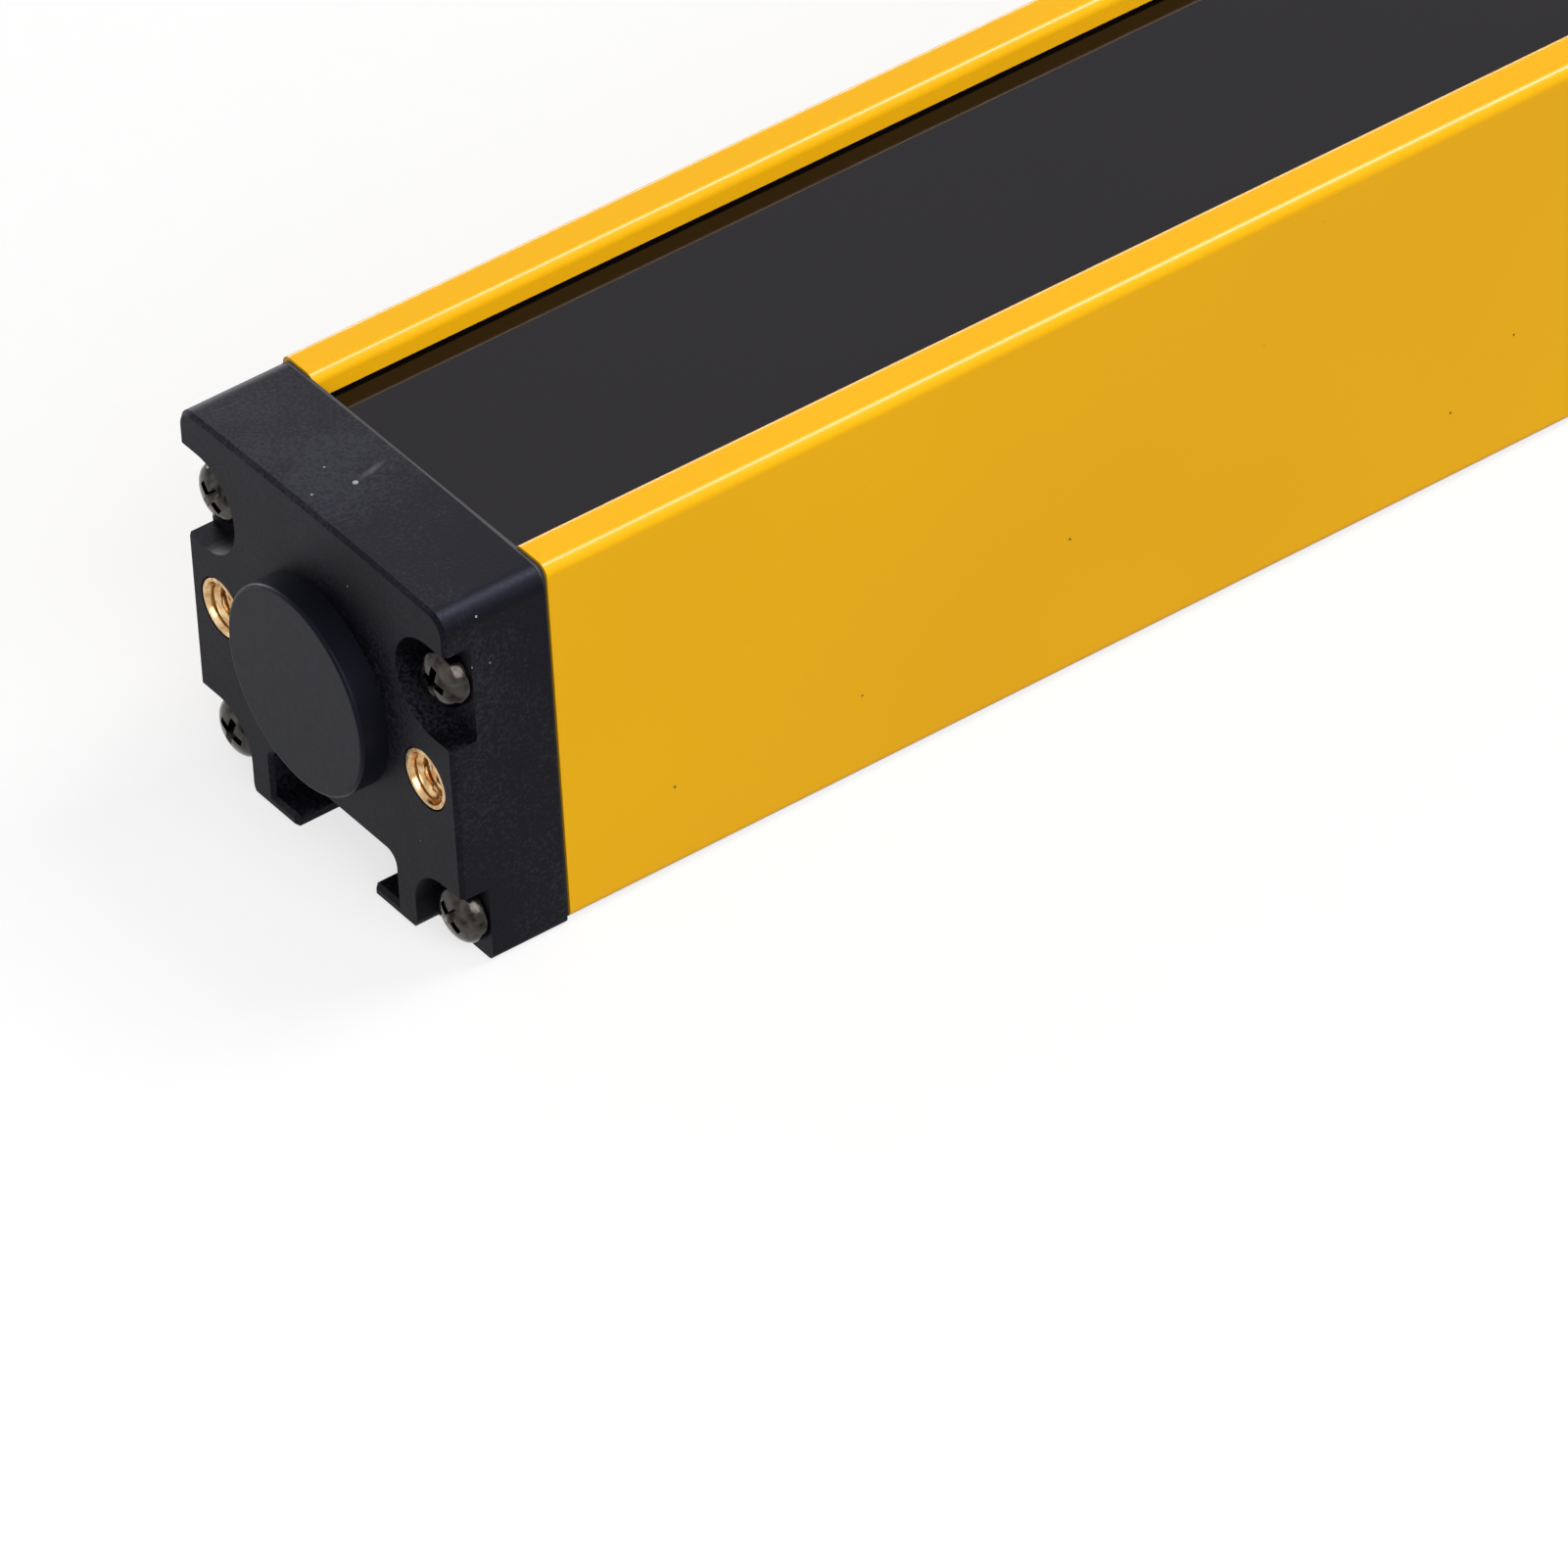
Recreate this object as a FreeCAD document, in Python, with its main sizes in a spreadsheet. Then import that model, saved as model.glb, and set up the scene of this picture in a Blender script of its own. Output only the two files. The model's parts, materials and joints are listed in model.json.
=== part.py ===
"""Safety light curtain: one bar of the pair, an extruded housing with moulded end caps.

Frame in millimetres: +X runs along the bar from the blanked end to the inlet end,
+Z points out of the window, and the bar lies on the feet beside its T-slot at Z = 0.
"""
import FreeCAD, Part
import Sketcher
import math
import os
import re

V = FreeCAD.Vector
doc = FreeCAD.newDocument("SafetyLightCurtain")

# Driving sizes: alias, millimetres (or a count), meaning.
SIZES = (
    ("beam_count", "4", "light beams"),
    ("beam_pitch", "40", "distance between neighbouring beams"),
    ("end_margin", "29", "housing end to the first beam"),
    ("cap_width", "35", "width of an end cap"),
    ("cap_height", "34.35", "height of an end cap at its crown"),
    ("cap_crown", "0.25", "rise of the cap's top over its shoulders"),
    ("cap_depth", "9.4", "length of an end cap along the bar"),
    ("cap_corner", "1.8", "radius of the cap's upper corners"),
    ("cap_foot_corner", "0.6", "radius of the cap's lower outer corners"),
    ("cap_edge", "0.35", "bevel round the cap's outer face"),
    ("cap_proud", "0.15", "step from the cap's sides and underside in to the housing"),
    ("rail_step", "0.05", "step from the cap's crown down to the rails"),
    ("cap_front_wall", "3.5", "thickness of the cap in front of its wiring space"),
    ("spigot_reach", "3", "length of the cap's spigot inside the housing"),
    ("spigot_wall", "1.6", "side wall of the spigot"),
    ("spigot_corner", "1.5", "corner radius of the spigot"),
    ("spigot_play", "0.4", "clearance round the spigot"),
    ("slot_half", "8.3", "half width inside the T-slot"),
    ("slot_ceiling", "5.8", "height of the T-slot's ceiling"),
    ("slot_corner", "0.9", "radius of the T-slot's upper corners"),
    ("mouth_half", "5.1", "half width of the T-slot's mouth"),
    ("lip_thickness", "1.2", "thickness of the T-slot's lips"),
    ("lip_edge", "0.4", "radius on the lips' tips"),
    ("screw_inset", "2.85", "cap screws in from the cap's side"),
    ("upper_screw_drop", "7.95", "upper cap screws below the cap's crown"),
    ("lower_screw_height", "3.45", "height of the lower cap screws"),
    ("screw_radius", "1.5", "M3 screw, outside of the thread"),
    ("screw_length", "14", "length of the cap screws under the head"),
    ("screw_head_radius", "2.6", "radius of the pan head"),
    ("screw_head_height", "1.9", "height of the pan head"),
    ("screw_head_rim", "0.9", "straight side of the pan head"),
    ("screw_play", "0.2", "clearance of a screw in the cap"),
    ("thread_play", "0.02", "clearance of a screw in its thread"),
    ("port_wall", "1.1", "wall round a screw port"),
    ("pocket_depth", "2.4", "depth of the screw recesses in the cap"),
    ("upper_pocket_shift", "0.5", "centre of the upper recess outside its screw"),
    ("upper_pocket_drop", "0.35", "centre of the upper recess below its screw"),
    ("upper_pocket_radius", "4.5", "radius of the upper recess"),
    ("lower_pocket_shift", "0.3", "centre of the lower recess outside its screw"),
    ("lower_pocket_drop", "0.4", "centre of the lower recess below its screw"),
    ("lower_pocket_radius", "4.05", "radius of the lower recess"),
    ("foot_edge", "1.05", "radius under the foot beside the lower recess"),
    ("insert_inset", "4", "threaded inserts in from the cap's side"),
    ("insert_drop", "0.6", "threaded inserts below half the cap's height"),
    ("insert_radius", "2.7", "outside of a threaded insert"),
    ("insert_bore", "1.65", "radius inside the M4 thread"),
    ("insert_length", "7.5", "length of a threaded insert"),
    ("bore_rise", "0.825", "cap's middle opening above half the cap's height"),
    ("bore_radius", "6.1", "radius of the cap's middle opening"),
    ("bore_play", "0.1", "clearance in the cap's middle opening"),
    ("plug_radius", "8.9", "radius of the blanking plug's disc"),
    ("plug_proud", "2.5", "thickness of the blanking plug's disc"),
    ("plug_edge", "0.3", "radius on the disc's rim"),
    ("plug_barb", "0.5", "rise of the plug's snap barb"),
    ("plug_barb_length", "1.4", "length of the plug's snap barb"),
    ("gasket_thickness", "0.4", "end gasket between cap and housing"),
    ("gasket_inset", "0.25", "gasket edge inside the housing's surface"),
    ("housing_wall", "1.8", "wall of the extrusion"),
    ("housing_foot_corner", "0.8", "radius of the housing's lower corners"),
    ("rail_width", "4.15", "width of the rail on each side of the window"),
    ("rail_corner", "1", "outer radius on a rail"),
    ("rail_edge", "0.9", "inner radius on a rail"),
    ("window_recess", "2.5", "window face below the rails"),
    ("window_thickness", "2", "thickness of the window"),
    ("groove_reach", "1.2", "depth of the window groove in the rail"),
    ("window_play", "0.1", "clearance at the window's long edges"),
    ("window_lift", "0.3", "open gap over the window in its groove"),
    ("seal_thickness", "0.5", "window seal under the pane"),
    ("seal_width", "1.9", "width of the window seal"),
    ("board_height", "10.4", "underside of the circuit board"),
    ("board_thickness", "1.6", "thickness of the circuit board"),
    ("board_play", "0.1", "clearance of the board between its ribs"),
    ("board_side_play", "0.3", "clearance of the board at each side wall"),
    ("board_end_play", "1", "board end to spigot"),
    ("rib_thickness", "1.1", "thickness of a board rib"),
    ("rib_reach", "1.5", "reach of a board rib from the wall"),
    ("carrier_play", "0.4", "lens carrier to the screw ports"),
    ("carrier_overhang", "24", "carrier past its outer beams"),
    ("window_air", "0.75", "aperture strip to the window"),
    ("carrier_corner", "1", "corner radius of the carrier"),
    ("lens_radius", "7.9", "radius of a lens"),
    ("lens_rim", "1.5", "thickness of a lens at its rim"),
    ("lens_dome", "2.6", "rise of a lens over its rim"),
    ("lens_depth", "3.9", "ledge under a lens below the carrier's top"),
    ("lens_play", "0.1", "clearance round a lens"),
    ("well_top_radius", "7.1", "light well at the lens"),
    ("well_base_radius", "2.6", "light well at the emitter"),
        ("mask_thickness", "0.4", "thickness of the aperture strip"),
    ("mask_aperture", "7", "radius of an aperture"),
    ("emitter_base", "3.2", "side of an emitter's package"),
    ("emitter_base_height", "1", "height of an emitter's package"),
    ("emitter_dome_radius", "1.3", "radius of an emitter's dome"),
    ("chip_side", "9", "side of a controller chip"),
    ("chip_height", "1.4", "height of a controller chip"),
    ("header_length", "6", "wiring header along the bar"),
    ("header_width", "14", "wiring header across the bar"),
    ("header_height", "2.4", "wiring header under the board"),
    ("header_inset", "3", "wiring header to the board's end"),
    ("header_slot", "1.6", "depth of the wiring header's openings"),
    ("board_screw_radius", "1", "M2 carrier screw"),
    ("board_screw_head_radius", "1.9", "head of a carrier screw"),
    ("board_screw_head_height", "1.2", "head height of a carrier screw"),
    ("board_screw_length", "7", "length of a carrier screw"),
    ("status_side", "4", "status lights, distance from the middle plane"),
    ("status_inset", "2.6", "status lights to the carrier's end"),
    ("status_led_side", "1.6", "side of a status light"),
    ("status_led_height", "0.8", "height of a status light"),
    ("pipe_radius", "1.2", "light pipe"),
    ("pipe_flange_radius", "1.8", "flange of a light pipe"),
    ("pipe_flange_height", "0.8", "flange height of a light pipe"),
    ("pipe_gap", "0.3", "status light to light pipe"),
    ("pipe_play", "0.05", "clearance round a light pipe"),
    ("inlet_flange_radius", "8.6", "flange of the M12 inlet"),
    ("inlet_flange_height", "2.5", "thickness of the inlet's flange"),
    ("inlet_thread_radius", "6", "outside of the M12 thread"),
    ("inlet_neck_radius", "5.2", "relief between flange and thread"),
    ("inlet_neck_length", "1.2", "length of that relief"),
    ("inlet_reach", "11", "inlet in front of the cap"),
    ("inlet_bore", "4.4", "radius inside the inlet"),
    ("inlet_chamfer", "0.5", "lead-in of the inlet's thread"),
    ("inlet_tail", "3.4", "inlet thread behind the cap's front wall"),
    ("inlet_core_recess", "5", "contact face below the inlet's rim"),
    ("inlet_core_tail", "1.6", "contact block behind the inlet"),
    ("inlet_core_play", "0.05", "clearance of the contact block"),
    ("contact_radius", "0.5", "radius of a contact"),
    ("contact_circle", "2.2", "radius of the contacts' circle"),
    ("contact_reach", "4.2", "contact in front of its block"),
    ("contact_tail", "1.5", "contact behind its block"),
    ("nut_across_half", "7", "half the lock nut's width across flats"),
    ("nut_play", "0.3", "wiring space over and under the lock nut"),
    ("nut_height", "2.8", "height of the lock nut"),
    ("ring_section", "0.75", "radius of the inlet seal's section"),
    ("ring_squeeze", "0.1", "seal groove shallower than the ring"),
    ("ring_radius", "7.4", "radius of the inlet seal's centre line"),
)

# Places that follow from the sizes above.
PLACES = (
    ("housing_length", "(beam_count - 1) * beam_pitch + 2 * end_margin"),
    ("cap_stack", "cap_depth + gasket_thickness"),
    ("overall", "plug_proud + 2 * cap_stack + housing_length + inlet_reach"),
    ("near_face", "plug_proud - overall / 2"),
    ("far_face", "overall / 2 - inlet_reach"),
    ("housing_start", "near_face + cap_stack"),
    ("housing_middle", "housing_start + housing_length / 2"),
    ("first_beam", "housing_start + end_margin"),
    ("cap_half", "cap_width / 2"),
    ("cap_shoulder", "cap_height - cap_crown"),
    ("screw_side", "cap_half - screw_inset"),
    ("insert_side", "cap_half - insert_inset"),
    ("outer_half", "cap_half - cap_proud"),
    ("housing_top", "cap_height - rail_step"),
    ("inner_half", "outer_half - housing_wall"),
    ("rail_inner", "outer_half - rail_width"),
    ("window_top", "housing_top - window_recess"),
    ("window_base", "window_top - window_thickness"),
    ("groove_top", "window_top + window_lift"),
    ("groove_floor", "window_base - seal_thickness"),
    ("groove_half", "rail_inner + groove_reach"),
    ("upper_screw_height", "cap_height - upper_screw_drop"),
    ("upper_pocket_side", "screw_side + upper_pocket_shift"),
    ("upper_pocket_height", "upper_screw_height - upper_pocket_drop"),
    ("lower_pocket_side", "screw_side + lower_pocket_shift"),
    ("lower_pocket_height", "lower_screw_height - lower_pocket_drop"),
    ("insert_height", "cap_height / 2 - insert_drop"),
    ("bore_height", "cap_height / 2 + bore_rise"),
    ("port_radius", "screw_radius + thread_play"),
    ("port_boss", "port_radius + port_wall"),
    ("ledge_half", "screw_side - port_boss"),
    ("carrier_half", "ledge_half - carrier_play"),
    ("port_rise", "sqrt(port_boss ^ 2 - (inner_half - screw_side) ^ 2)"),
    ("floor_top", "slot_ceiling + housing_wall"),
    ("foot_floor", "cap_proud + housing_wall"),
    ("foot_half", "slot_half + housing_wall"),
    ("board_top", "board_height + board_thickness"),
    ("rib_half", "inner_half - rib_reach"),
    ("board_half", "inner_half - board_side_play"),
    ("board_length", "housing_length - 2 * (spigot_reach + board_end_play)"),
    ("spigot_half", "ledge_half - spigot_play"),
    ("spigot_base", "floor_top + spigot_play"),
    ("spigot_top", "window_base - spigot_play"),
    ("space_base", "bore_height - nut_across_half - nut_play"),
    ("space_top", "bore_height + nut_across_half + nut_play"),
    ("carrier_top", "window_base - window_air - mask_thickness"),
    ("lens_seat", "carrier_top - lens_depth"),
    ("carrier_length", "(beam_count - 1) * beam_pitch + 2 * carrier_overhang"),
    ("inlet_rear", "cap_front_wall + inlet_tail"),
    ("status_place", "housing_middle + carrier_length / 2 - status_inset"),
)

ALIASES = {alias for alias, _, _ in SIZES}
PLACED = {alias for alias, _ in PLACES}


def bound(text):
    """Spell every size and place in an expression with the sheet that holds it."""
    def spell(match):
        word = match.group()
        if word in ALIASES:
            return "Dims." + word
        if word in PLACED:
            return "Places." + word
        return word
    return re.sub(r"[a-z][a-z0-9_]*", spell, str(text))


def fill_sheets():
    """Write the driving sizes, then the places worked out from them."""
    dims = doc.addObject("Spreadsheet::Sheet", "Dims")
    for row, (alias, value, meaning) in enumerate(SIZES, start=1):
        dims.set(f"A{row}", meaning)
        dims.set(f"B{row}", value)
        dims.setAlias(f"B{row}", alias)
    doc.recompute()
    places = doc.addObject("Spreadsheet::Sheet", "Places")
    for row, (alias, formula) in enumerate(PLACES, start=1):
        places.set(f"A{row}", alias.replace("_", " "))
        places.setAlias(f"B{row}", alias)
        own = re.sub(r"Places\.", "", bound(formula))
        places.set(f"B{row}", "=" + own)
    doc.recompute()
    return dims


dims = fill_sheets()


def value(text):
    """The number that an expression gives now."""
    return float(dims.evalExpression(bound(text)))


# ---------------------------------------------------------------- drawing

def at(x, y, rounded=None, arc=None, turn=1):
    """A corner of an outline: its place, its rounding, or the arc that arrives at it."""
    return {"x": x, "y": y, "rounded": rounded, "arc": arc, "turn": turn}


def pin_point(sketch, index, position, corner):
    """Fix one point of a sketch at a corner's two expressions."""
    for kind, axis, text in (("DistanceX", -2, corner["x"]), ("DistanceY", -1, corner["y"])):
        if str(text) == "0":
            sketch.addConstraint(Sketcher.Constraint("PointOnObject", index, position, axis))
            continue
        number = sketch.addConstraint(
            Sketcher.Constraint(kind, -1, 1, index, position, value(text)))
        sketch.setExpression(f"Constraints[{number}]", bound(text))


def bind_radius(sketch, index, text):
    """Tie an arc's or circle's radius to its expression."""
    number = sketch.addConstraint(Sketcher.Constraint("Radius", index, value(text)))
    sketch.setExpression(f"Constraints[{number}]", bound(text))


def round_corner(before, here, after, radius):
    """The two tangent points and the centre of a rounded corner."""
    back = (before - here).normalize()
    ahead = (after - here).normalize()
    half_angle = back.getAngle(ahead) / 2
    reach = radius / math.tan(half_angle)
    middle = (back + ahead).normalize()
    return here + back * reach, here + ahead * reach, here + middle * (radius / math.sin(half_angle))


def arc_between(start, end, centre):
    """The shorter arc about a centre, and whether it runs from start to end."""
    radius = (start - centre).Length
    forward = (start - centre).cross(end - centre).z > 0
    first, last = (start, end) if forward else (end, start)
    angles = [math.atan2(point.y - centre.y, point.x - centre.x) for point in (first, last)]
    circle = Part.Circle(centre, V(0, 0, 1), radius)
    return Part.ArcOfCircle(circle, angles[0], angles[1]), forward


def arc_centre(start, end, radius, turn):
    """Centre of the arc from start to end that turns left (1) or right (-1)."""
    chord = end - start
    rise = math.sqrt(max(radius ** 2 - chord.Length ** 2 / 4, 0.0))
    left = V(-chord.y, chord.x, 0).normalize()
    return (start + end) * 0.5 + left * (rise * turn)


def draw(sketch, corners):
    """Draw a closed outline whose corners, roundings and arcs follow their expressions."""
    count = len(corners)
    points = [V(value(c["x"]), value(c["y"]), 0) for c in corners]
    arrive = list(points)
    leave = list(points)
    fillets = {}
    for i, corner in enumerate(corners):
        if corner["rounded"] is None:
            continue
        arrive[i], leave[i], centre = round_corner(
            points[i - 1], points[i], points[(i + 1) % count], value(corner["rounded"]))
        fillets[i] = centre
    marks = []
    for corner, point in zip(corners, points):
        mark = sketch.addGeometry(Part.Point(point), True)
        pin_point(sketch, mark, 1, corner)
        marks.append(mark)
    sides = []
    for i, corner in enumerate(corners):
        start, end = leave[i - 1], arrive[i]
        if corner["arc"] is None:
            index = sketch.addGeometry(Part.LineSegment(start, end), False)
            sides.append((index, 1, 2))
            continue
        centre = arc_centre(start, end, value(corner["arc"]), corner["turn"])
        curve, forward = arc_between(start, end, centre)
        index = sketch.addGeometry(curve, False)
        sides.append((index, 1, 2) if forward else (index, 2, 1))
        bind_radius(sketch, index, corner["arc"])
    for i, corner in enumerate(corners):
        side, _, side_end = sides[i]
        following, following_start, _ = sides[(i + 1) % count]
        mark = marks[i]
        if i not in fillets:
            sketch.addConstraint(Sketcher.Constraint("Coincident", side, side_end, mark, 1))
            sketch.addConstraint(Sketcher.Constraint("Coincident", following, following_start, mark, 1))
            continue
        curve, forward = arc_between(arrive[i], leave[i], fillets[i])
        index = sketch.addGeometry(curve, False)
        entry, departure = (1, 2) if forward else (2, 1)
        sketch.addConstraint(Sketcher.Constraint("PointOnObject", mark, 1, side))
        sketch.addConstraint(Sketcher.Constraint("PointOnObject", mark, 1, following))
        sketch.addConstraint(Sketcher.Constraint("Tangent", side, side_end, index, entry))
        sketch.addConstraint(Sketcher.Constraint("Tangent", index, departure, following, following_start))
        bind_radius(sketch, index, corner["rounded"])


def circle(sketch, x, y, radius):
    """A circle at two expressions."""
    shape = Part.Circle(V(value(x), value(y), 0), V(0, 0, 1), value(radius))
    index = sketch.addGeometry(shape, False)
    pin_point(sketch, index, 3, at(x, y))
    bind_radius(sketch, index, radius)


def box_corners(x0, x1, y0, y1, rounded=None):
    """The four corners of an upright rectangle."""
    return [at(x0, y0, rounded), at(x1, y0, rounded), at(x1, y1, rounded), at(x0, y1, rounded)]


# --------------------------------------------------------------- building

def new_body(label):
    """An empty body whose Label names its file."""
    body = doc.addObject("PartDesign::Body", label)
    body.Label = label
    return body


def plane_of(body, role):
    """One of the body's own origin planes or axes."""
    return next(item for item in body.Origin.OriginFeatures if item.Role == role)


def new_sketch(body, role, name, offset="0"):
    """A sketch on one of the body's planes, moved off it by an expression."""
    sketch = body.newObject("Sketcher::SketchObject", name)
    sketch.AttachmentSupport = [(plane_of(body, role), "")]
    sketch.MapMode = "FlatFace"
    if offset != "0":
        sketch.setExpression("AttachmentOffset.Base.z", bound(offset))
    return sketch


def outline(body, role, name, corners, offset="0"):
    """A sketch that holds one closed outline."""
    sketch = new_sketch(body, role, name, offset)
    draw(sketch, corners)
    return sketch


def pad(body, sketch, name, length, reverse=False):
    """Add a sketch's outline along its normal, or against it."""
    feature = body.newObject("PartDesign::Pad", name)
    feature.Profile = sketch
    feature.Reversed = reverse
    feature.setExpression("Length", bound(length))
    return feature


def pocket(body, sketch, name, length, along_normal=True):
    """Cut a sketch's outline along its normal, or against it, and prove that it cuts."""
    before = body_volume(body)
    feature = body.newObject("PartDesign::Pocket", name)
    feature.Profile = sketch
    feature.Reversed = along_normal
    feature.setExpression("Length", bound(length))
    doc.recompute()
    require_cut(before, feature)
    return feature


def turn_about(body, sketch, name, axis, kind="PartDesign::Revolution"):
    """Turn a sketch's outline about one of its two axes."""
    feature = body.newObject(kind, name)
    feature.Profile = sketch
    feature.ReferenceAxis = (sketch, [axis])
    feature.Angle = 360
    return feature


def body_volume(body):
    """Volume of the body as it stands."""
    doc.recompute()
    return body.Tip.Shape.Volume


def require_cut(before, feature):
    """Stop if a cut took nothing away."""
    if not feature.Shape.Volume < before:
        raise RuntimeError(feature.Label + " cuts nothing")


def mirror_body(body, originals, name="Mirrored"):
    """Repeat features on the other side of the middle plane."""
    feature = body.newObject("PartDesign::Mirrored", name)
    feature.Originals = originals
    feature.MirrorPlane = (plane_of(body, "XZ_Plane"), [""])
    body.Tip = feature
    return feature


def row_of(body, originals, name, pitch, count):
    """Repeat features along the bar."""
    feature = body.newObject("PartDesign::LinearPattern", name)
    feature.Originals = originals
    feature.Direction = (plane_of(body, "X_Axis"), [""])
    feature.Mode = "Spacing"
    feature.setExpression("Offset", bound(pitch))
    feature.setExpression("Occurrences", bound(count))
    body.Tip = feature
    return feature


def edges_of(feature, wanted):
    """Names of the edges that a test picks."""
    return [f"Edge{i}" for i, edge in enumerate(feature.Shape.Edges, start=1) if wanted(edge)]


def place(item, x="0", y="0", z="0", turned=False):
    """Stand a sub-part in the bar, turned half round the vertical where it faces the far end."""
    if turned:
        item.Placement = FreeCAD.Placement(V(0, 0, 0), FreeCAD.Rotation(V(0, 0, 1), 180))
    for axis, text in (("x", x), ("y", y), ("z", z)):
        item.setExpression(f"Placement.Base.{axis}", bound(text))
    return item


ENDS = (("near", "near_face", False), ("far", "far_face", True))


def slot_corners(base, lip_top):
    """Half of the T-slot, from its ceiling round the lip to the underside."""
    return [
        at("0", "slot_ceiling"),
        at("slot_half", "slot_ceiling", "slot_corner"),
        at("slot_half", lip_top),
        at("mouth_half", lip_top, "lip_edge"),
        at("mouth_half", base, "lip_edge"),
    ]


# ------------------------------------------------------------ the housing

def make_housing():
    """The aluminium extrusion: rails, window grooves, board ribs, screw ports and T-slot."""
    body = new_body("housing")
    rib_low = "board_height - board_play"
    rib_high = "board_top + board_play"
    section = slot_corners("cap_proud", "cap_proud + lip_thickness") + [
        at("outer_half", "cap_proud", "housing_foot_corner"),
        at("outer_half", "housing_top", "rail_corner"),
        at("rail_inner", "housing_top", "rail_edge"),
        at("rail_inner", "groove_top"),
        at("groove_half", "groove_top"),
        at("groove_half", "groove_floor"),
        at("ledge_half", "groove_floor"),
        at("ledge_half", "upper_screw_height"),
        at("inner_half", "upper_screw_height - port_rise", arc="port_boss", turn=1),
        at("inner_half", rib_high + " + rib_thickness"),
        at("rib_half", rib_high + " + rib_thickness"),
        at("rib_half", rib_high),
        at("inner_half", rib_high),
        at("inner_half", rib_low),
        at("rib_half", rib_low),
        at("rib_half", rib_low + " - rib_thickness"),
        at("inner_half", rib_low + " - rib_thickness"),
        at("inner_half", "lower_screw_height + port_rise"),
        at("ledge_half", "lower_screw_height", arc="port_boss", turn=1),
        at("ledge_half", "foot_floor"),
        at("foot_half", "foot_floor"),
        at("foot_half", "floor_top"),
        at("0", "floor_top"),
    ]
    half = pad(body, outline(body, "YZ_Plane", "HousingSection", section),
               "HousingPad", "housing_length")
    mirror_body(body, [half])
    ports = new_sketch(body, "YZ_Plane", "PortSection")
    for side in ("-screw_side", "screw_side"):
        for height in ("upper_screw_height", "lower_screw_height"):
            circle(ports, side, height, "port_radius")
    port_cut = pocket(body, ports, "ScrewPorts", "housing_length")
    body.Tip = port_cut
    place(body, "housing_start")
    return body


def make_window():
    """The filter pane that closes the front, held in the grooves of both rails."""
    pane = doc.addObject("Part::Box", "front_window")
    pane.Label = "front_window"
    pane.setExpression("Length", bound("housing_length"))
    pane.setExpression("Width", bound("2 * (groove_half - window_play)"))
    pane.setExpression("Height", bound("window_thickness"))
    place(pane, "housing_start", "window_play - groove_half", "window_base")
    return pane


def make_seals():
    """A flat seal under each long edge of the pane."""
    seals = []
    for name, start in (("left", "groove_half - window_play - seal_width"),
                        ("right", "window_play - groove_half")):
        seal = doc.addObject("Part::Box", "window_seal_" + name)
        seal.Label = "window_seal_" + name
        seal.setExpression("Length", bound("housing_length"))
        seal.setExpression("Width", bound("seal_width"))
        seal.setExpression("Height", bound("seal_thickness"))
        seals.append(place(seal, "housing_start", start, "groove_floor"))
    return seals


# --------------------------------------------------------------- end caps

def cap_outline():
    """Half of the cap's outline, which follows the housing and its T-slot."""
    crown = "((cap_half - cap_corner) ^ 2 + cap_crown ^ 2) / (2 * cap_crown)"
    return slot_corners("0", "lip_thickness") + [
        at("cap_half", "0", "cap_foot_corner"),
        at("cap_half", "cap_shoulder - cap_corner"),
        at("cap_half - cap_corner", "cap_shoulder", arc="cap_corner", turn=1),
        at("0", "cap_height", arc=crown, turn=1),
    ]


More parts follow.
